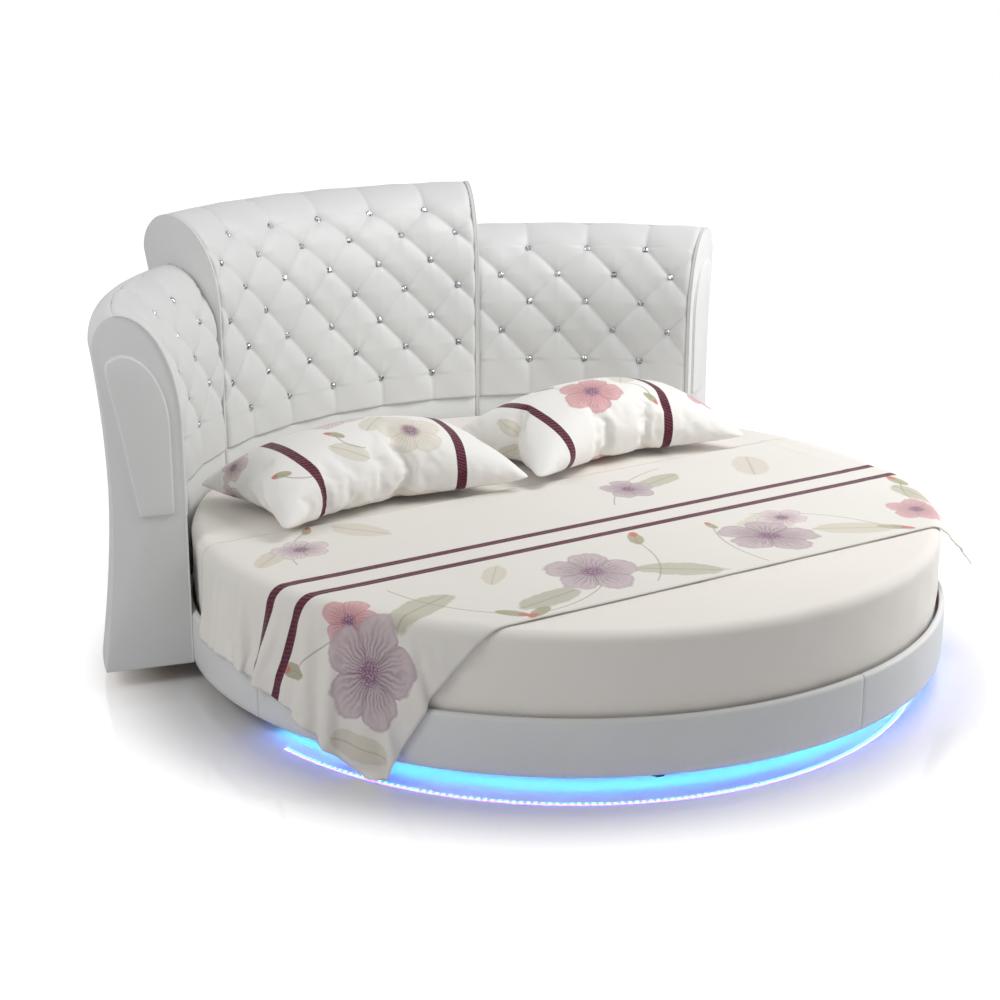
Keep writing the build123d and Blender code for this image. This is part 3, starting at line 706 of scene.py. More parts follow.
for section in headboard:
    outer = back_line(section, 0.001, 0.001)
    inner = back_line(section, back_thick, crest_lap)
    back = turned_shell(
        f"{section.name}_back_leather", outer + inner[::-1], section.start, section.end, section.cuts, 1.5,
    )
    add_bevel(back, 0.003)
    dress(back, "bed", "leatherette", leatherette, f"{section.name}_back_cover")
    band = turned_shell(
        f"{section.name}_band_leather",
        [(front_radius, base_bottom), (front_radius, band_height - band_round),
         (front_radius + band_round, band_height), (front_radius + band_thick, band_height),
         (front_radius + band_thick, base_bottom)],
        section.start, section.end, section.cuts, 1.5,
    )
    dress(band, "bed", "leatherette", leatherette, f"{section.name}_lower_band")

for section, angle, side in wing_sides:
    name = f"{section.name}_end_leather"
    panel = upright_panel(name, side_outline(section), angle, 0.0, -side * end_thick, panel_bevel)
    dress(panel, "bed", "leatherette", leatherette, f"{section.name}_end_panel")
for angle, side, name in centre_sides:
    cover = upright_panel(
        f"centre_end_leather_{name}", side_outline(centre), angle,
        side * 0.0003, side * centre_end_thick, panel_bevel,
    )
    dress(cover, "bed", "leatherette", leatherette, "centre_end_covers")
print("headboard covers made")

# %% [markdown]
# Piping is a thin cord sewn into a seam. It outlines the ends of every section, so a curve with a
# round bevel follows each front edge. The wings also carry a raised pad on each outer end, framed
# by piping of its own.

# %% Piping and end pads
pad_gap, pad_thick, pad_bevel, pad_cord, edge_cord = 0.0003, 0.0088, 0.0042, 0.0022, 0.0026


def piping(name, line, angle, offset, radius, closed=False):
    """A thin cord along a line of radius and height, at an angle round the bed."""
    out, side = Vector(ring_point(1.0, angle, 0.0)), Vector(ring_point(1.0, angle + 90, 0.0))
    curve = bpy.data.curves.new(name, "CURVE")
    curve.dimensions, curve.bevel_depth, curve.bevel_resolution = "3D", radius, 2
    spline = curve.splines.new("POLY")
    spline.points.add(len(line) - 1)
    for point, (r, z) in zip(spline.points, line):
        point.co = (*(out * r + side * offset + Vector((0, 0, z))), 1)
    spline.use_cyclic_u = closed
    piece = bpy.data.objects.new(name, curve)
    bpy.context.scene.collection.objects.link(piece)
    return dress(piece, "bed", "leatherette", leatherette)


def edge_line(section):
    """Just proud of a section's front edge, from the floor side to the crest."""
    return front_line(section, front_radius + 0.0008, 0.001, base_bottom + 0.003)


def end_pad_line():
    """The wing's raised pad: straight front, round top, and a tail that narrows to its foot."""
    front, width, foot, top = 1.052, 0.084, 0.458, 0.872
    crest, shoulder = front + 1.35 * width, left_wing.top - left_wing.rise
    line = [(front, foot + s * (shoulder - foot)) for s in np.linspace(0, 1, 12)[:-1]]
    line += [(crest - (crest - front) * math.cos(t), shoulder + (top - shoulder) * math.sin(t))
             for t in np.linspace(0, math.pi / 2, 22)]
    tail = np.array([
        (crest, top), (crest + 0.36 * width, top - 0.12 * width), (crest + 0.46 * width, top - 0.48 * width),
        (crest + 0.18 * width, top - 1.7 * width), (front + width, foot),
    ])
    reach = np.r_[0, np.cumsum(np.hypot(*np.diff(tail, axis=0).T))]
    for s in np.linspace(0, reach[-1], 26)[1:]:
        line.append((float(np.interp(s, reach, tail[:, 0])), float(np.interp(s, reach, tail[:, 1]))))
    for _ in range(6):
        line[36:-1] = [tuple((np.array(a) + np.array(b) * 2 + np.array(c)) / 4)
                       for a, b, c in zip(line[35:-2], line[36:-1], line[37:])]
    return line


pad_line = end_pad_line()
for section, angle, side in wing_sides:
    name = f"{section.name}_raised_pad"
    pad = upright_panel(name, pad_line, angle, side * pad_gap, side * pad_thick, pad_bevel)
    dress(pad, "bed", "leatherette", leatherette, f"{section.name}_end_pad")
    piping(f"{section.name}_pad_piping", pad_line, angle, side * 0.0012, pad_cord, closed=True)
    piping(f"{section.name}_edge_piping", edge_line(section), angle, side * -0.0008, edge_cord)
for angle, side, name in centre_sides:
    piping(f"centre_edge_piping_{name}", edge_line(centre), angle, side * 0.0016, edge_cord)
print("piping and end pads made")

# %% [markdown]
# Under the bedding lies a sprung mattress in ticking. The fitted sheet over it is one cloth, pulled
# tight: an open surface turned round the Z axis, with shallow creases that a stretched cotton sheet
# keeps near its edge.

# %% Mattress and fitted sheet
def turned_cloth(name, radius, height, count, capped=False):
    """A surface of revolution, from a line of radii and heights, open or with both its ends capped."""
    turn = np.arange(count)[:, None] * 360.0 / count
    points = ring_point(np.asarray(radius)[None, :], turn, np.asarray(height)[None, :]).reshape(-1, 3)
    along = len(radius)
    faces = grid_faces(count, along, closed=True)
    if capped:
        caps = (range(0, count * along, along)[::-1], range(along - 1, count * along, along))
        return mesh_piece(name, points, faces, caps=caps)
    length = np.r_[0, np.cumsum(np.hypot(np.diff(radius), np.diff(height)))]
    uv = np.stack(np.broadcast_arrays(np.radians(turn), length[None, :]), -1).reshape(-1, 2)
    return mesh_piece(name, points, faces, uv)


ticking = Finish("ticking", roughness=0.85, Sheen_Weight=0.2)
ticking.colour(ticking.mix(ticking.noise(ticking.place(), 9.0), (0.80, 0.79, 0.75), (0.86, 0.85, 0.82)))
quilt = ticking.node("TexVoronoi", feature="DISTANCE_TO_EDGE")
quilt.inputs["Scale"].default_value = 16.0
ticking.link(ticking.place(), quilt.inputs["Vector"])
ticking.bump(quilt.outputs["Distance"], 0.004, 0.6)

body_low, body_high, low_round, high_round = 0.1656, 0.3816, 0.022, 0.030
wall_low, wall_high = body_low + low_round, body_high - high_round
body_turn = np.linspace(0, math.pi / 2, 9)
body_line = [(radius, body_low) for radius in (0.02, 0.5, 0.955)]
body_line += [(0.965 + low_round * math.sin(t), wall_low - low_round * math.cos(t)) for t in body_turn]
body_line += [
    (0.9885 + 0.006 * math.sin(math.pi * s), wall_low + s * (wall_high - wall_low))
    for s in np.linspace(0, 1, 9)[1:-1]
]
body_line += [(0.957 + high_round * math.cos(t), wall_high + high_round * math.sin(t)) for t in body_turn]
body_line += [(radius, body_high) for radius in (0.5, 0.02)]
mattress_body = turned_cloth("mattress_body", *np.array(body_line).T, count=96, capped=True)
tidy_normals(mattress_body)
dress(mattress_body, "mattress", "ticking", ticking.material, "mattress")


def crease(value, seed):
    """Soft waves in seven directions that add up to shallow creases."""
    dice = np.random.default_rng(seed)
    total = np.zeros_like(value[0])
    for order in range(7):
        a, b, c = dice.uniform(6, 30), dice.uniform(-14, 14), dice.uniform(0, 6.28)
        total += np.sin(value[0] * a + value[1] * b + c) ** 3 / (1 + order * 0.4)
    return total / 3


sheet_face, sheet_edge, sheet_round, sheet_tuck = 0.3872, 0.968, 0.0315, 0.172
side_creases, top_creases = 0.0016, 0.0007


def make_fitted_sheet():
    turn = np.linspace(0, math.pi / 2, 12)[1:]
    shoulder = sheet_face - sheet_round
    radius = list(np.linspace(0.0015, sheet_edge, 60))
    radius += [sheet_edge + sheet_round * math.sin(t) for t in turn]
    height = [sheet_face] * 60 + [shoulder + sheet_round * math.cos(t) for t in turn]
    drop = np.linspace(shoulder, sheet_tuck, 18)[1:]
    radius += [0.9996 - 0.004 * smooth_step(0.22, 0.17, z) for z in drop]
    height += list(drop)
    radius += [0.990, 0.978]
    height += [0.1662, 0.1660]
    cloth = turned_cloth("fitted_sheet_cloth", radius, height, count=300)
    points = np.array([vertex.co for vertex in cloth.data.vertices])
    angle = np.arctan2(points[:, 0], points[:, 1])
    reach = np.hypot(points[:, 0], points[:, 1])
    side = smooth_step(0.94, 0.985, reach) * smooth_step(0.166, 0.19, points[:, 2])
    sink = side_creases * side * (1 + crease((angle * 1.9, points[:, 2] * 3.5), 5))
    points[:, :2] *= (1 - sink / np.maximum(reach, 0.1))[:, None]
    top = 1 - smooth_step(0.90, 0.97, reach)
    points[:, 2] -= top_creases * top * (1 + crease((points[:, 0] * 1.1, points[:, 1] * 1.1), 9))
    cloth.data.vertices.foreach_set("co", points.ravel())
    cloth.data.update()
    return cloth


def make_sheet_cotton():
    finish = Finish("sheet_cotton", roughness=0.62, Sheen_Weight=0.25, Sheen_Roughness=0.4)
    point = finish.place()
    weave = finish.node("TexWave", wave_type="BANDS", bands_direction="DIAGONAL")
    weave.inputs["Scale"].default_value = 900.0
    finish.link(point, weave.inputs["Vector"])
    finish.colour(finish.mix(finish.noise(point, 3.0), (0.83, 0.785, 0.73), (0.87, 0.83, 0.775)))
    finish.rough(finish.sum("MULTIPLY_ADD", finish.noise(point, 40.0), 0.12, 0.56))
    finish.bump(weave.outputs["Fac"], 0.0002, 0.25)
    finish.bump(finish.noise(point, 9.0, 2.0), 0.006, 0.22)
    return finish.material


sheet_cloth = make_fitted_sheet()
dress(sheet_cloth, "mattress", "sheet_cotton", make_sheet_cotton(), "fitted_sheet")
print("mattress and sheet made")

# %% [markdown]
# The cover and the pillow cases are ivory cotton with a hand-painted look: large mauve and dusty
# pink blossoms, buds on thin stems and pale olive blots, with burgundy satin ribbons sewn across.
# The motifs are drawn from the cloth's own UV map, in metres, so they bend with every fold. They
# are generic blossoms in a layout of their own.

# %% Printed cloth
class Print(Finish):
    """A cloth whose motifs are painted one over another on its flat cut."""

    def __init__(self, name, ground):
        super().__init__(name, roughness=0.6, Sheen_Weight=0.1, Sheen_Roughness=0.5, Specular_IOR_Level=0.2)
        parts = self.node("SeparateXYZ")
        plain = self.place(uv=True)
        self.link(plain, parts.inputs[0])
        self.across, self.along = parts.outputs["X"], parts.outputs["Y"]
        self.drift = self.noise(plain, 26.0, 2.0)
        self.fine = self.noise(plain, 210.0, 3.0)
        self.tone = self.mix(self.noise(plain, 4.0), *ground)
        self.satin = self.puckers = None
        self.plain = plain

    def paint(self, mask, tone, strength=1.0):
        self.tone = self.mix(self.sum("MULTIPLY", mask, strength), self.tone, tone)

    def local(self, centre, size, turn=0.0, squeeze=1.0):
        """A motif's own two coordinates, as shares of its size."""
        c, s = math.cos(turn) / size, math.sin(turn) / size
        dx = self.sum("SUBTRACT", self.across, centre[0])
        dy = self.sum("SUBTRACT", self.along, centre[1])
        x = self.sum("ADD", self.sum("MULTIPLY", dx, c), self.sum("MULTIPLY", dy, s))
        y = self.sum("ADD", self.sum("MULTIPLY", dx, -s / squeeze), self.sum("MULTIPLY", dy, c / squeeze))
        return x, y

    def reach(self, x, y):
        return self.sum("SQRT", self.sum("ADD", self.sum("MULTIPLY", x, x), self.sum("MULTIPLY", y, y)))

    def blossom(self, centre, size, turn, light, dark, petals=5):
        """A ragged five-petal flower with streaked petals and a dark, speckled eye."""
        x, y = self.local(centre, size, turn, 0.86)
        reach, angle = self.reach(x, y), self.sum("ARCTAN2", y, x)
        lobe = self.sum("ABSOLUTE", self.sum("COSINE", self.sum("MULTIPLY", angle, petals / 2)))
        ragged = self.sum("MULTIPLY_ADD", self.drift, 0.30, -0.15)
        edge = self.sum("ADD", self.sum("MULTIPLY_ADD", self.sum("POWER", lobe, 0.55), 0.32, 0.66), ragged)
        share = self.sum("DIVIDE", reach, edge)
        mask = self.ramp(share, 1.02, 0.94)
        wander = self.sum("MULTIPLY", self.drift, 16.0)
        streak = self.sum("SINE", self.sum("ADD", self.sum("MULTIPLY", angle, petals * 7.0), wander))
        streak = self.sum("MULTIPLY_ADD", streak, 0.34, 0.48)
        streak = self.sum("MULTIPLY", streak, self.ramp(share, 1.05, 0.25))
        cleft = self.sum("MULTIPLY", self.ramp(lobe, 0.30, 0.02), 0.35)
        shade = self.sum("ADD", streak, cleft)
        rim = self.sum("MULTIPLY", self.ramp(share, 0.86, 0.99), 0.30)
        petal = self.mix(self.sum("ADD", shade, rim), light, dark)
        self.paint(mask, petal, 0.93)
        self.paint(self.ramp(reach, 0.34, 0.12), eye_colour, 0.85)
        speck = self.sum("MULTIPLY", self.ramp(self.fine, 0.52, 0.62), self.ramp(reach, 0.40, 0.22))
        self.paint(speck, speck_colour, 0.8)

    def leaf(self, centre, size, turn, tone, squeeze, strength):
        x, y = self.local(centre, size, turn, squeeze)
        ragged = self.sum("MULTIPLY_ADD", self.drift, 0.5, 0.75)
        mask = self.ramp(self.sum("DIVIDE", self.reach(x, y), ragged), 1.03, 0.90)
        self.paint(mask, tone, strength)
        vein = self.sum("MULTIPLY", self.ramp(self.sum("ABSOLUTE", y), 0.10, 0.03), mask)
        self.paint(vein, tuple(0.6 * part for part in tone), 0.35)

    def bud(self, centre, size, turn):
        self.leaf(centre, size, turn, bud_colour, 0.42, 0.8)
        ahead = (centre[0] + math.cos(turn) * size * 0.75, centre[1] + math.sin(turn) * size * 0.75)
        self.leaf(ahead, size * 0.42, turn, tip_colour, 0.6, 0.85)

    def stem(self, start, end, bow, width=0.0024):
        """A thin bowed line from one point of the cloth to another."""
        length = math.hypot(end[0] - start[0], end[1] - start[1])
        turn = math.atan2(end[1] - start[1], end[0] - start[0])
        x, y = self.local(start, length, turn)
        rise = self.sum("MULTIPLY", self.sum("MULTIPLY", x, self.sum("SUBTRACT", 1.0, x)), 4 * bow / length)
        off = self.sum("ABSOLUTE", self.sum("SUBTRACT", y, rise))
        line = self.ramp(off, 1.3 * width / length, 0.4 * width / length)
        inside = self.sum("MULTIPLY", self.sum("GREATER_THAN", x, 0.0), self.sum("LESS_THAN", x, 1.0))
        self.paint(self.sum("MULTIPLY", line, inside), stem_colour, 0.75)

    def ribbon(self, source, place, width=0.0125):
        """A satin ribbon along the cloth, gathered so that it puckers, with a painted highlight on the
        puckers and a sewn edge beside it.
        """
        off = self.sum("ABSOLUTE", self.sum("SUBTRACT", source, place))
        mask = self.sum("LESS_THAN", off, width)
        other = self.along if source is self.across else self.across
        slant = self.sum("MULTIPLY_ADD", other, 520.0, self.sum("MULTIPLY", source, 260.0))
        pucker = self.sum("SINE", self.sum("ADD", slant, self.sum("MULTIPLY", self.fine, 5.0)))
        # The pucker wave also paints the satin's colour, from dark burgundy to a lighter painted highlight on
        # each crest, besides its bump.
        painted_satin_highlight = self.sum("MULTIPLY_ADD", pucker, 0.5, 0.5)
        satin = self.mix(self.sum("POWER", painted_satin_highlight, 3.0), *burgundy_and_painted_highlight)
        self.paint(self.ramp(off, width + 0.0016, width + 0.0004), seam_colour, 0.5)
        self.tone = self.mix(mask, self.tone, satin)
        self.satin = mask if self.satin is None else self.sum("MAXIMUM", self.satin, mask)
        self.puckers = pucker

    def finish_cloth(self):
        self.colour(self.tone)
        base = self.sum("MULTIPLY_ADD", self.fine, 0.1, 0.56)
        self.rough(self.sum("SUBTRACT", base, self.sum("MULTIPLY", self.satin, 0.26)))
        weave = self.node("TexChecker")
        weave.inputs["Scale"].default_value = 1400.0
        self.link(self.plain, weave.inputs["Vector"])
        self.bump(weave.outputs["Fac"], 0.00015, 0.3)
        self.bump(self.sum("MULTIPLY", self.puckers, self.satin), 0.0012, 0.7)
        self.bump(self.satin, 0.0010, 0.8)
        self.bump(self.drift, 0.004, 0.18)
        return self.material


ivory, white_cotton = ((0.79, 0.765, 0.715), (0.83, 0.80, 0.755)), ((0.86, 0.845, 0.81), (0.90, 0.885, 0.855))
# The second burgundy is the painted highlight on the satin's puckers.
burgundy_and_painted_highlight, seam_colour = ((0.070, 0.005, 0.020), (0.17, 0.022, 0.050)), (0.55, 0.47, 0.42)
eye_colour, speck_colour = (0.20, 0.09, 0.17), (0.62, 0.47, 0.50)
bud_colour, tip_colour, stem_colour = (0.36, 0.34, 0.20), (0.62, 0.20, 0.17), (0.42, 0.36, 0.33)
mauve, grey_mauve = (0.60, 0.50, 0.52), (0.20, 0.14, 0.18)
pink, deep_pink = (0.70, 0.42, 0.42), (0.42, 0.12, 0.16)
blush, grey_pink = (0.76, 0.66, 0.65), (0.34, 0.22, 0.27)
cream, dark_cream = (0.80, 0.76, 0.68), (0.58, 0.52, 0.42)
olive, sand, moss = (0.38, 0.36, 0.22), (0.60, 0.54, 0.40), (0.32, 0.32, 0.19)

# %% [markdown]
# The cover is one long cloth laid across the bed, turned a little, so that a corner hangs at the
# near left. Its folds come from a cloth simulation: the flat cut starts just above the mattress,
# its middle is held still, and the free ends fall over the edge of the mattress and the base.

# %% Drape the cover
cover_turn, cover_size, cover_start = math.radians(-9.0), (2.15, 0.88), (-1.215, -0.715)
cover_spacing, cloth_thick, cover_frames = 0.0145, 0.0030, 64
held_reach, bend_reach, right_lean = 0.86, 0.985, 0.115
sheet_top, collider_round = 0.3875, 0.032


def hidden_collider(name, radius, height, count=120):
    body = turned_cloth(name, radius, height, count)
    body.modifiers.new("collide", "COLLISION")
    body.collision.thickness_outer = 0.002
    body.collision.cloth_friction = 12.0
    return body


def spread_right(body):
    """Leans a collider outwards on the right, where the quilted end of the cover stands off the mattress."""
    points = np.array([vertex.co for vertex in body.data.vertices])
    turn = np.degrees(np.arctan2(points[:, 1], points[:, 0]))
    lean = smooth_step(-75, -50, turn) * smooth_step(25, 0, turn)
    lean = lean * np.clip((0.365 - points[:, 2]) / 0.16, 0, 1)
    points[:, :2] *= (1 + right_lean * lean)[:, None]
    body.data.vertices.foreach_set("co", points.ravel())
    body.data.update()


def place_on_bed(across, along, height):
    """Where a point of the flat cover starts, above the mattress."""
    c, s = math.cos(cover_turn), math.sin(cover_turn)
    x, y = across + cover_start[0], along + cover_start[1]
    return np.stack(np.broadcast_arrays(x * c - y * s, x * s + y * c, height), -1)


def settle(cloth, frames, colliders=()):
    """Runs the simulation, keeps its last shape as the mesh, and removes the colliders."""
    scene = bpy.context.scene
    scene.frame_start, scene.frame_end = 1, frames
    cloth.modifiers["Cloth"].point_cache.frame_start = 1
    cloth.modifiers["Cloth"].point_cache.frame_end = frames
    for frame_number in range(1, frames + 1):
        scene.frame_set(frame_number)
    shape = bpy.data.meshes.new_from_object(cloth.evaluated_get(bpy.context.evaluated_depsgraph_get()))
    result = np.empty(len(shape.vertices) * 3)
    shape.vertices.foreach_get("co", result)
    cloth.modifiers.clear()
    cloth.vertex_groups.clear()
    cloth.data.vertices.foreach_set("co", result)
    cloth.data.update()
    bpy.data.meshes.remove(shape)
    for collider in colliders:
        bpy.data.objects.remove(collider)
    scene.frame_set(1)
    return result.reshape(-1, 3)


def make_cover():
    across, along = (int(size / cover_spacing) + 1 for size in cover_size)
    u = np.linspace(0, cover_size[0], across)[:, None]
    v = np.linspace(0, cover_size[1], along)[None, :]
    flat = np.stack(np.broadcast_arrays(u, v), -1).reshape(-1, 2)
    start = place_on_bed(u, v, sheet_top + 0.0040).reshape(-1, 3)
    cloth = mesh_piece("bed_cover_cloth", start, grid_faces(across, along), flat)
    turn = np.linspace(0, math.pi / 2, 8)
    edge_radius = sheet_edge + collider_round * np.sin(turn)
    edge_height = sheet_top - collider_round + collider_round * np.cos(turn)
    bodies = [
        hidden_collider(
            "collide_mattress", [0.001, 0.5, 0.9, *edge_radius, *[1.0] * 8],
            [sheet_top] * 3 + [*edge_height, *np.linspace(0.33, 0.16, 8)],
        ),
        hidden_collider(
            "collide_base", [0.99, 1.012, 1.0175, 1.021, 1.021], [0.191, 0.191, 0.189, 0.182, 0.045],
        ),
        hidden_collider("collide_floor", [0.001, 0.8, 1.8], [0.0, 0.0, 0.0], 60),
    ]
    spread_right(bodies[0])
    held = cloth.vertex_groups.new(name="held")
    reach = np.hypot(start[:, 0], start[:, 1])
    held.add([int(i) for i in np.flatnonzero(reach < held_reach)], 1.0, "REPLACE")
    soft = cloth.modifiers.new("Cloth", "CLOTH")
    settings = soft.settings
    settings.quality, settings.mass, settings.air_damping = 7, 0.25, 2.5
    settings.tension_stiffness = settings.compression_stiffness = 22.0
    settings.shear_stiffness, settings.bending_stiffness = 9.0, 0.35
    settings.vertex_group_mass = "held"
    soft.collision_settings.distance_min = 0.003
    soft.collision_settings.collision_quality = 3
    settle(cloth, cover_frames, bodies)
    return cloth


bed_cover = make_cover()
heights = np.array([vertex.co for vertex in bed_cover.data.vertices])
print("cover draped from", heights.min(0).round(3), "to", heights.max(0).round(3))

# %% [markdown]
# Each motif is a place on the flat cloth, in metres from its near left corner, with a size and a
# turn. Large pale blots go on first, then stems, buds and leaves, then the blossoms over them, and
# the two ribbons last of all. The cloth is subdivided once and given a thickness, so that its
# hanging edge is not paper thin.

# %% Print of the cover
cover_print = Print("cover_cloth", ivory)
for place_at, size, turn in (
    ((1.52, 0.24), 0.130, 0.5), ((0.62, 0.78), 0.085, 2.2), ((1.86, 0.70), 0.100, 1.0),
):
    cover_print.leaf(place_at, size, turn, sand, 0.55, 0.45)
for start, end, bow in (
    ((0.10, 0.36), (0.34, 0.13), 0.04), ((0.66, 0.02), (0.98, 0.20), -0.05),
    ((1.16, 0.33), (1.02, 0.05), 0.03), ((1.55, 0.34), (1.78, 0.06), 0.05),
    ((1.98, 0.02), (2.10, 0.34), 0.04), ((0.45, 0.34), (0.60, 0.06), -0.03),
    ((0.36, 0.62), (0.50, 0.84), 0.03), ((1.30, 0.60), (1.62, 0.82), 0.04),
    ((1.34, 0.02), (1.40, 0.31), 0.03),
):
    cover_print.stem(start, end, bow)
for place_at, size, turn in (
    ((0.10, 0.37), 0.048, 1.9), ((0.67, 0.03), 0.042, 3.6), ((1.17, 0.335), 0.048, 1.1),
    ((1.79, 0.05), 0.045, -0.8), ((2.10, 0.35), 0.046, 1.4), ((0.61, 0.055), 0.042, -0.9),
    ((0.50, 0.845), 0.030, 1.0), ((1.40, 0.315), 0.028, 1.4),
):
    cover_print.bud(place_at, size, turn)
for place_at, size, turn, tone in (
    ((0.46, 0.20), 0.11, 0.4, olive), ((0.06, 0.10), 0.09, 1.9, sand), ((0.74, 0.09), 0.10, 0.2, moss),
    ((1.12, 0.09), 0.11, 2.5, olive), ((1.70, 0.10), 0.11, -0.5, sand), ((2.05, 0.24), 0.09, 1.5, olive),
    ((0.33, 0.70), 0.08, 0.7, sand), ((1.54, 0.72), 0.09, 0.3, olive), ((0.72, 0.30), 0.07, 0.9, sand),
):
    cover_print.leaf(place_at, size, turn, tone, 0.42, 0.55)
for place_at, size, turn, light, dark in (
    ((0.30, 0.27), 0.085, 1.7, pink, deep_pink), ((0.235, 0.165), 0.150, 0.3, mauve, grey_mauve),
    ((0.93, 0.19), 0.142, 1.1, mauve, grey_mauve), ((1.60, 0.27), 0.080, 0.4, blush, grey_pink),
    ((1.47, 0.17), 0.138, 2.2, mauve, grey_mauve), ((1.95, 0.13), 0.095, 0.9, pink, grey_pink),
    ((0.42, 0.72), 0.085, 0.2, blush, grey_mauve), ((1.42, 0.70), 0.090, 1.3, mauve, grey_mauve),
):
    cover_print.blossom(place_at, size, turn, light, dark)
cover_print.ribbon(cover_print.along, 0.412)
cover_print.ribbon(cover_print.along, 0.505)
cover_cloth = cover_print.finish_cloth()

finer = bed_cover.modifiers.new("finer", "SUBSURF")
finer.levels = finer.render_levels = 1
thick = bed_cover.modifiers.new("thick", "SOLIDIFY")
thick.thickness, thick.offset = cloth_thick, 0.0
dress(bed_cover, "mattress", "cover_cloth", cover_cloth, "bed_cover")

# %% [markdown]
# A pillow is two flat rectangles sewn together and filled. Pressure inside a simulated cloth gives
# it its crown, the sides that pull in between the corners and the small wrinkles at the seams,
# which no formula gives as well. The result is brought to the pillow's real size, and flattened
# where it lies on the bed.

# %% Pillows
pillow_size, pillow_cut, pillow_corner = (0.780, 0.490, 0.204), (0.90, 0.60), 0.03
pillow_rest, pillow_spacing, pillow_frames = 0.4019, 0.0125, 26
seam_room, pressed_round, fullness = 0.004, 0.010, 0.86
overfill, middle_sink, corner_sink = 0.040, 0.018, 0.032


def rounded_rectangle(across, along, width, length, corner):
    """A grid of points that fills a rectangle with round corners."""
    u, v = np.linspace(-1, 1, across)[:, None], np.linspace(-1, 1, along)[None, :]
    u, v = np.broadcast_arrays(u, v)
    x, y = u * width / 2, v * length / 2
    dx, dy = np.abs(x) - (width / 2 - corner), np.abs(y) - (length / 2 - corner)
    reach = np.hypot(np.clip(dx, 0, None), np.clip(dy, 0, None))
    pull = np.where((dx > 0) & (dy > 0), np.maximum(dx, dy) / np.maximum(reach, 1e-6), 1.0)
    x = np.where((dx > 0) & (dy > 0), np.sign(x) * (width / 2 - corner + dx * pull), x)
    y = np.where((dx > 0) & (dy > 0), np.sign(y) * (length / 2 - corner + dy * pull), y)
    return np.stack([x, y], -1)


def pillow_mesh(name, seed):
    """Two flat cuts, sewn together round their edge and hardly apart before they are filled."""
    width, length = pillow_cut
    across, along = int(width / pillow_spacing) + 1, int(length / pillow_spacing) + 1
    flat = rounded_rectangle(across, along, width, length, pillow_corner).reshape(-1, 2)
    edge = np.zeros((across, along), bool)
    edge[[0, -1], :] = edge[:, [0, -1]] = True
    edge = edge.ravel()
    jitter = np.random.default_rng(seed).normal(0, 0.0006, len(flat))
    dome_x, dome_y = 1 - (flat[:, 0] / width * 2) ** 2, 1 - (flat[:, 1] / length * 2) ** 2
    crown = 0.030 * np.clip(dome_x * dome_y, 0, None) ** 0.5 + 0.001
    top = np.column_stack([flat, np.where(edge, 0, crown + jitter)])
    number = np.arange(len(flat))
    under = np.where(edge, number, len(flat) + np.cumsum(~edge) - 1)
    low = np.column_stack([flat[~edge], -(crown + jitter)[~edge]])
    quads = grid_faces(across, along)
    faces = np.concatenate([quads, under[quads][:, ::-1]])
    uv = np.concatenate([flat, flat[~edge]]) * (pillow_size[0] / width)
    return mesh_piece(name, np.concatenate([top, low]), faces, uv)


def fill_pillow(pillow):
    soft = pillow.modifiers.new("Cloth", "CLOTH")
    settings = soft.settings
    settings.quality, settings.mass = 5, 0.3
    settings.use_pressure, settings.uniform_pressure_force = True, 5.0
    settings.tension_stiffness = settings.compression_stiffness = 14.0
    settings.shear_stiffness, settings.bending_stiffness = 6.0, 0.25
    settings.effector_weights.gravity = 0.0
    settings.air_damping = 3.0
    soft.collision_settings.use_collision = False
    return settle(pillow, pillow_frames)


def make_pillow(name, at, turn, seed):
    pillow = pillow_mesh(f"{name}_case", seed)
    points = fill_pillow(pillow)
    low, high = points.min(0), points.max(0)
    print(name, "filled to", (high - low).round(3))
    points -= (low + high) / 2
    size = high - low
    points[:, 0] *= (pillow_size[0] - seam_room) / size[0]
    points[:, 1] *= (pillow_size[1] - seam_room) / size[1]
    points[:, 2] *= (pillow_size[2] + overfill) / size[2]
    rest = -pillow_size[2] / 2 + 0.004
    out_x, out_y = points[:, 0] / pillow_size[0] * 2, points[:, 1] / pillow_size[1] * 2
    lowered = points[:, 2] - middle_sink - corner_sink * (out_x**2 + out_y**2)
    pressed = np.log1p(np.exp((lowered - rest) / pressed_round)) * pressed_round
    pressed -= pressed.min()
    points[:, 2] = (pressed / pressed.max()) ** fullness * (pillow_size[2] - 0.003)
    points[:, 2] += pillow_rest + 0.0006
    c, s = math.cos(math.radians(turn)), math.sin(math.radians(turn))
    x, y = points[:, 0].copy(), points[:, 1].copy()
    points[:, 0], points[:, 1] = at[0] + x * c - y * s, at[1] + x * s + y * c
    pillow.data.vertices.foreach_set("co", points.ravel())
    pillow.data.update()
    tidy_normals(pillow)
    finer = pillow.modifiers.new("finer", "SUBSURF")
    finer.levels = finer.render_levels = 1
    return pillow


def pillow_print(name, blossoms, buds, leaves, ribbons):
    """Paints a pillow case, with each motif's place in metres from its middle."""
    cloth = Print(name, white_cotton)
    for place_at, size, turn, tone in leaves:
        cloth.leaf(place_at, size, turn, tone, 0.5, 0.5)
    for place_at, size, turn in buds:
        away = (place_at[0] - 0.10 * math.cos(turn), place_at[1] - 0.10 * math.sin(turn))
        cloth.stem(away, place_at, 0.02)
        cloth.bud(place_at, size, turn)
    for place_at, size, turn, light, dark in blossoms:
        cloth.blossom(place_at, size, turn, light, dark)
    for place_at in ribbons:
        cloth.ribbon(cloth.across, place_at)
    return cloth.finish_cloth()


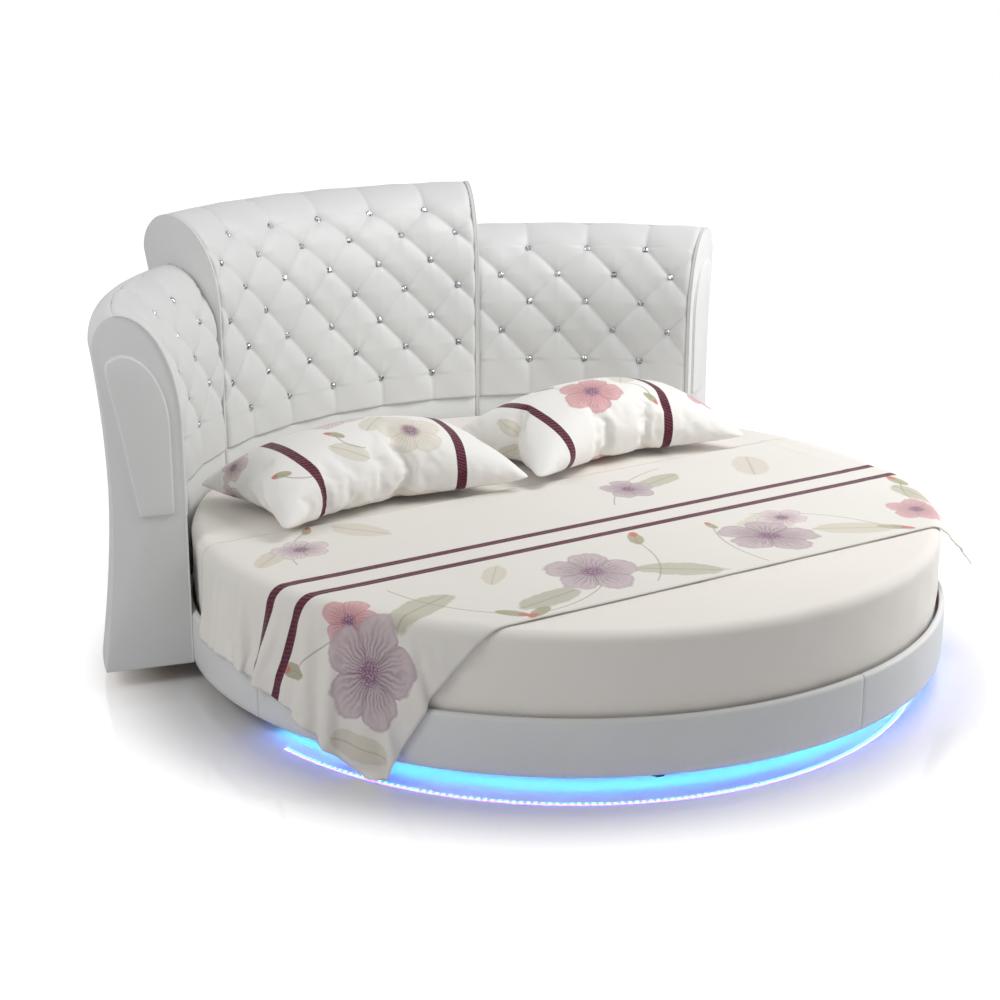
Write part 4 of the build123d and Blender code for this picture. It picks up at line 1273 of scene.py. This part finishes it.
pillow_left_cloth = pillow_print(
    "pillow_cloth_left",
    [((0.09, -0.09), 0.110, 1.6, cream, dark_cream), ((-0.04, 0.09), 0.100, 0.4, blush, grey_pink),
     ((-0.33, 0.12), 0.065, 0.2, blush, grey_mauve)],
    [((-0.10, -0.04), 0.030, 2.0), ((0.14, 0.12), 0.028, 0.8), ((-0.29, -0.10), 0.030, 2.4)],
    [((0.02, -0.02), 0.070, 0.8, sand), ((-0.10, -0.13), 0.060, 2.3, sand), ((0.32, 0.05), 0.055, 1.2, sand)],
    (-0.225, 0.205),
)
pillow_right_cloth = pillow_print(
    "pillow_cloth_right",
    [((0.05, 0.10), 0.095, 0.2, blush, grey_pink), ((-0.06, -0.06), 0.110, 0.9, pink, deep_pink),
     ((0.30, -0.10), 0.070, 1.1, pink, grey_pink)],
    [((0.11, -0.13), 0.030, 5.2), ((-0.13, 0.06), 0.028, 2.6), ((0.33, 0.09), 0.028, 0.6)],
    [((0.10, 0.02), 0.075, 0.9, sand), ((-0.02, 0.16), 0.065, 2.0, olive), ((-0.34, 0.02), 0.055, 1.0, sand)],
    (-0.245, 0.150),
)
for name, at, turn, cloth, seed in (
    ("pillow_left", (-0.372, 0.388), -7.0, pillow_left_cloth, 51),
    ("pillow_right", (0.415, 0.299), -6.0, pillow_right_cloth, 52),
):
    pillow = make_pillow(name, at, turn, seed)
    dress(pillow, name, "pillow_cloth", cloth, name)

# %% [markdown]
# The CAD nodes that still show, such as the slats, keep their own shape. The floor is pale and
# glossy, so the light strip under the base shows in it as a bright line. Away from the bed it is
# lifted to white for the camera alone, which leaves the object's shadow near the base as it is.

# %% Floor
floor_mesh = bpy.data.meshes.new("floor")
floor_half, lift_from, lift_to, floor_glow = 9, 1.06, 1.34, 0.52
corners = [(x * floor_half, y * floor_half, 0) for x, y in ((-1, -1), (1, -1), (1, 1), (-1, 1))]
floor_mesh.from_pydata(corners, [], [(0, 1, 2, 3)])
floor = bpy.data.objects.new("floor", floor_mesh)
bpy.context.scene.collection.objects.link(floor)
floor_finish = Finish("floor", roughness=0.045)
floor_point = floor_finish.place()
floor_drift = floor_finish.noise(floor_point, 2.0)
floor_finish.colour(floor_finish.mix(floor_drift, (0.80, 0.80, 0.80), (0.82, 0.82, 0.82)))
rays = floor_finish.node("LightPath")
floor_reach = floor_finish.node("VectorMath", operation="LENGTH")
floor_finish.link(floor_point, floor_reach.inputs[0])
clear_of_bed = floor_finish.ramp(floor_reach.outputs["Value"], lift_from, lift_to)
floor_lift = floor_finish.sum("MULTIPLY", rays.outputs["Is Camera Ray"], clear_of_bed)
floor_lift = floor_finish.sum("MULTIPLY", floor_lift, floor_glow)
floor_finish.link((1.0, 1.0, 1.0), floor_finish.shader.inputs["Emission Color"])
floor_finish.link(floor_lift, floor_finish.shader.inputs["Emission Strength"])
floor_mesh.materials.append(floor_finish.material)

# %% [markdown]
# The world is a soft white studio. It lights the bed weakly, and is full white only where the
# camera, or a glossy or clear surface, looks at it. A large key lamp overhead, a smaller one high on
# the left and a low one on the right shape the padding.

# %% World and lamps
world_light, world_seen = 0.355, 1.0
world = bpy.data.worlds.new("studio")
bpy.context.scene.world = world
world.use_nodes = True
tree = world.node_tree
background = tree.nodes["Background"]
path = tree.nodes.new("ShaderNodeLightPath")
seen = path.outputs["Is Camera Ray"]
for ray in ("Is Glossy Ray", "Is Transmission Ray"):
    either = tree.nodes.new("ShaderNodeMath")
    either.operation = "MAXIMUM"
    tree.links.new(seen, either.inputs[0])
    tree.links.new(path.outputs[ray], either.inputs[1])
    seen = either.outputs[0]
strength = tree.nodes.new("ShaderNodeMapRange")
tree.links.new(seen, strength.inputs["Value"])
strength.inputs["To Min"].default_value = world_light
strength.inputs["To Max"].default_value = world_seen
tree.links.new(strength.outputs["Result"], background.inputs["Strength"])
background.inputs["Color"].default_value = (1, 1, 1, 1)


def area_lamp(name, place_at, target, size, power):
    """A round soft lamp that the camera itself doesn't see."""
    lamp = bpy.data.lights.new(name, "AREA")
    lamp.shape, lamp.size, lamp.energy = "DISK", size, power
    holder = bpy.data.objects.new(name, lamp)
    holder.location = place_at
    holder.rotation_euler = (Vector(target) - Vector(place_at)).to_track_quat("-Z", "Y").to_euler()
    holder.visible_camera = False
    bpy.context.scene.collection.objects.link(holder)


area_lamp("key_light", (1.3, -0.9, 2.9), (0.0, 0.6, 0.5), 1.8, 52.0)
area_lamp("right_light", (2.4, -1.3, 0.9), (0.9, -0.4, 0.25), 1.2, 19.0)
area_lamp("side_light", (-3.0, 0.3, 2.2), (-0.6, 0.6, 0.5), 1.4, 22.0)

# %% [markdown]
# The camera was fitted to the photograph: the edges of the base, the top of the mattress and the
# rows of buttons all fall where they do there.

# %% Camera
camera_data = bpy.data.cameras.new("camera")
camera_data.lens, camera_data.sensor_width = 66.24, 36.0
camera = bpy.data.objects.new("camera", camera_data)
camera.location = (-3.327, -3.423, 1.840)
camera.rotation_euler = (math.radians(73.11), 0.0, math.radians(-42.1))
bpy.context.scene.collection.objects.link(camera)
bpy.context.scene.camera = camera
bpy.context.scene.view_settings.view_transform = "Standard"
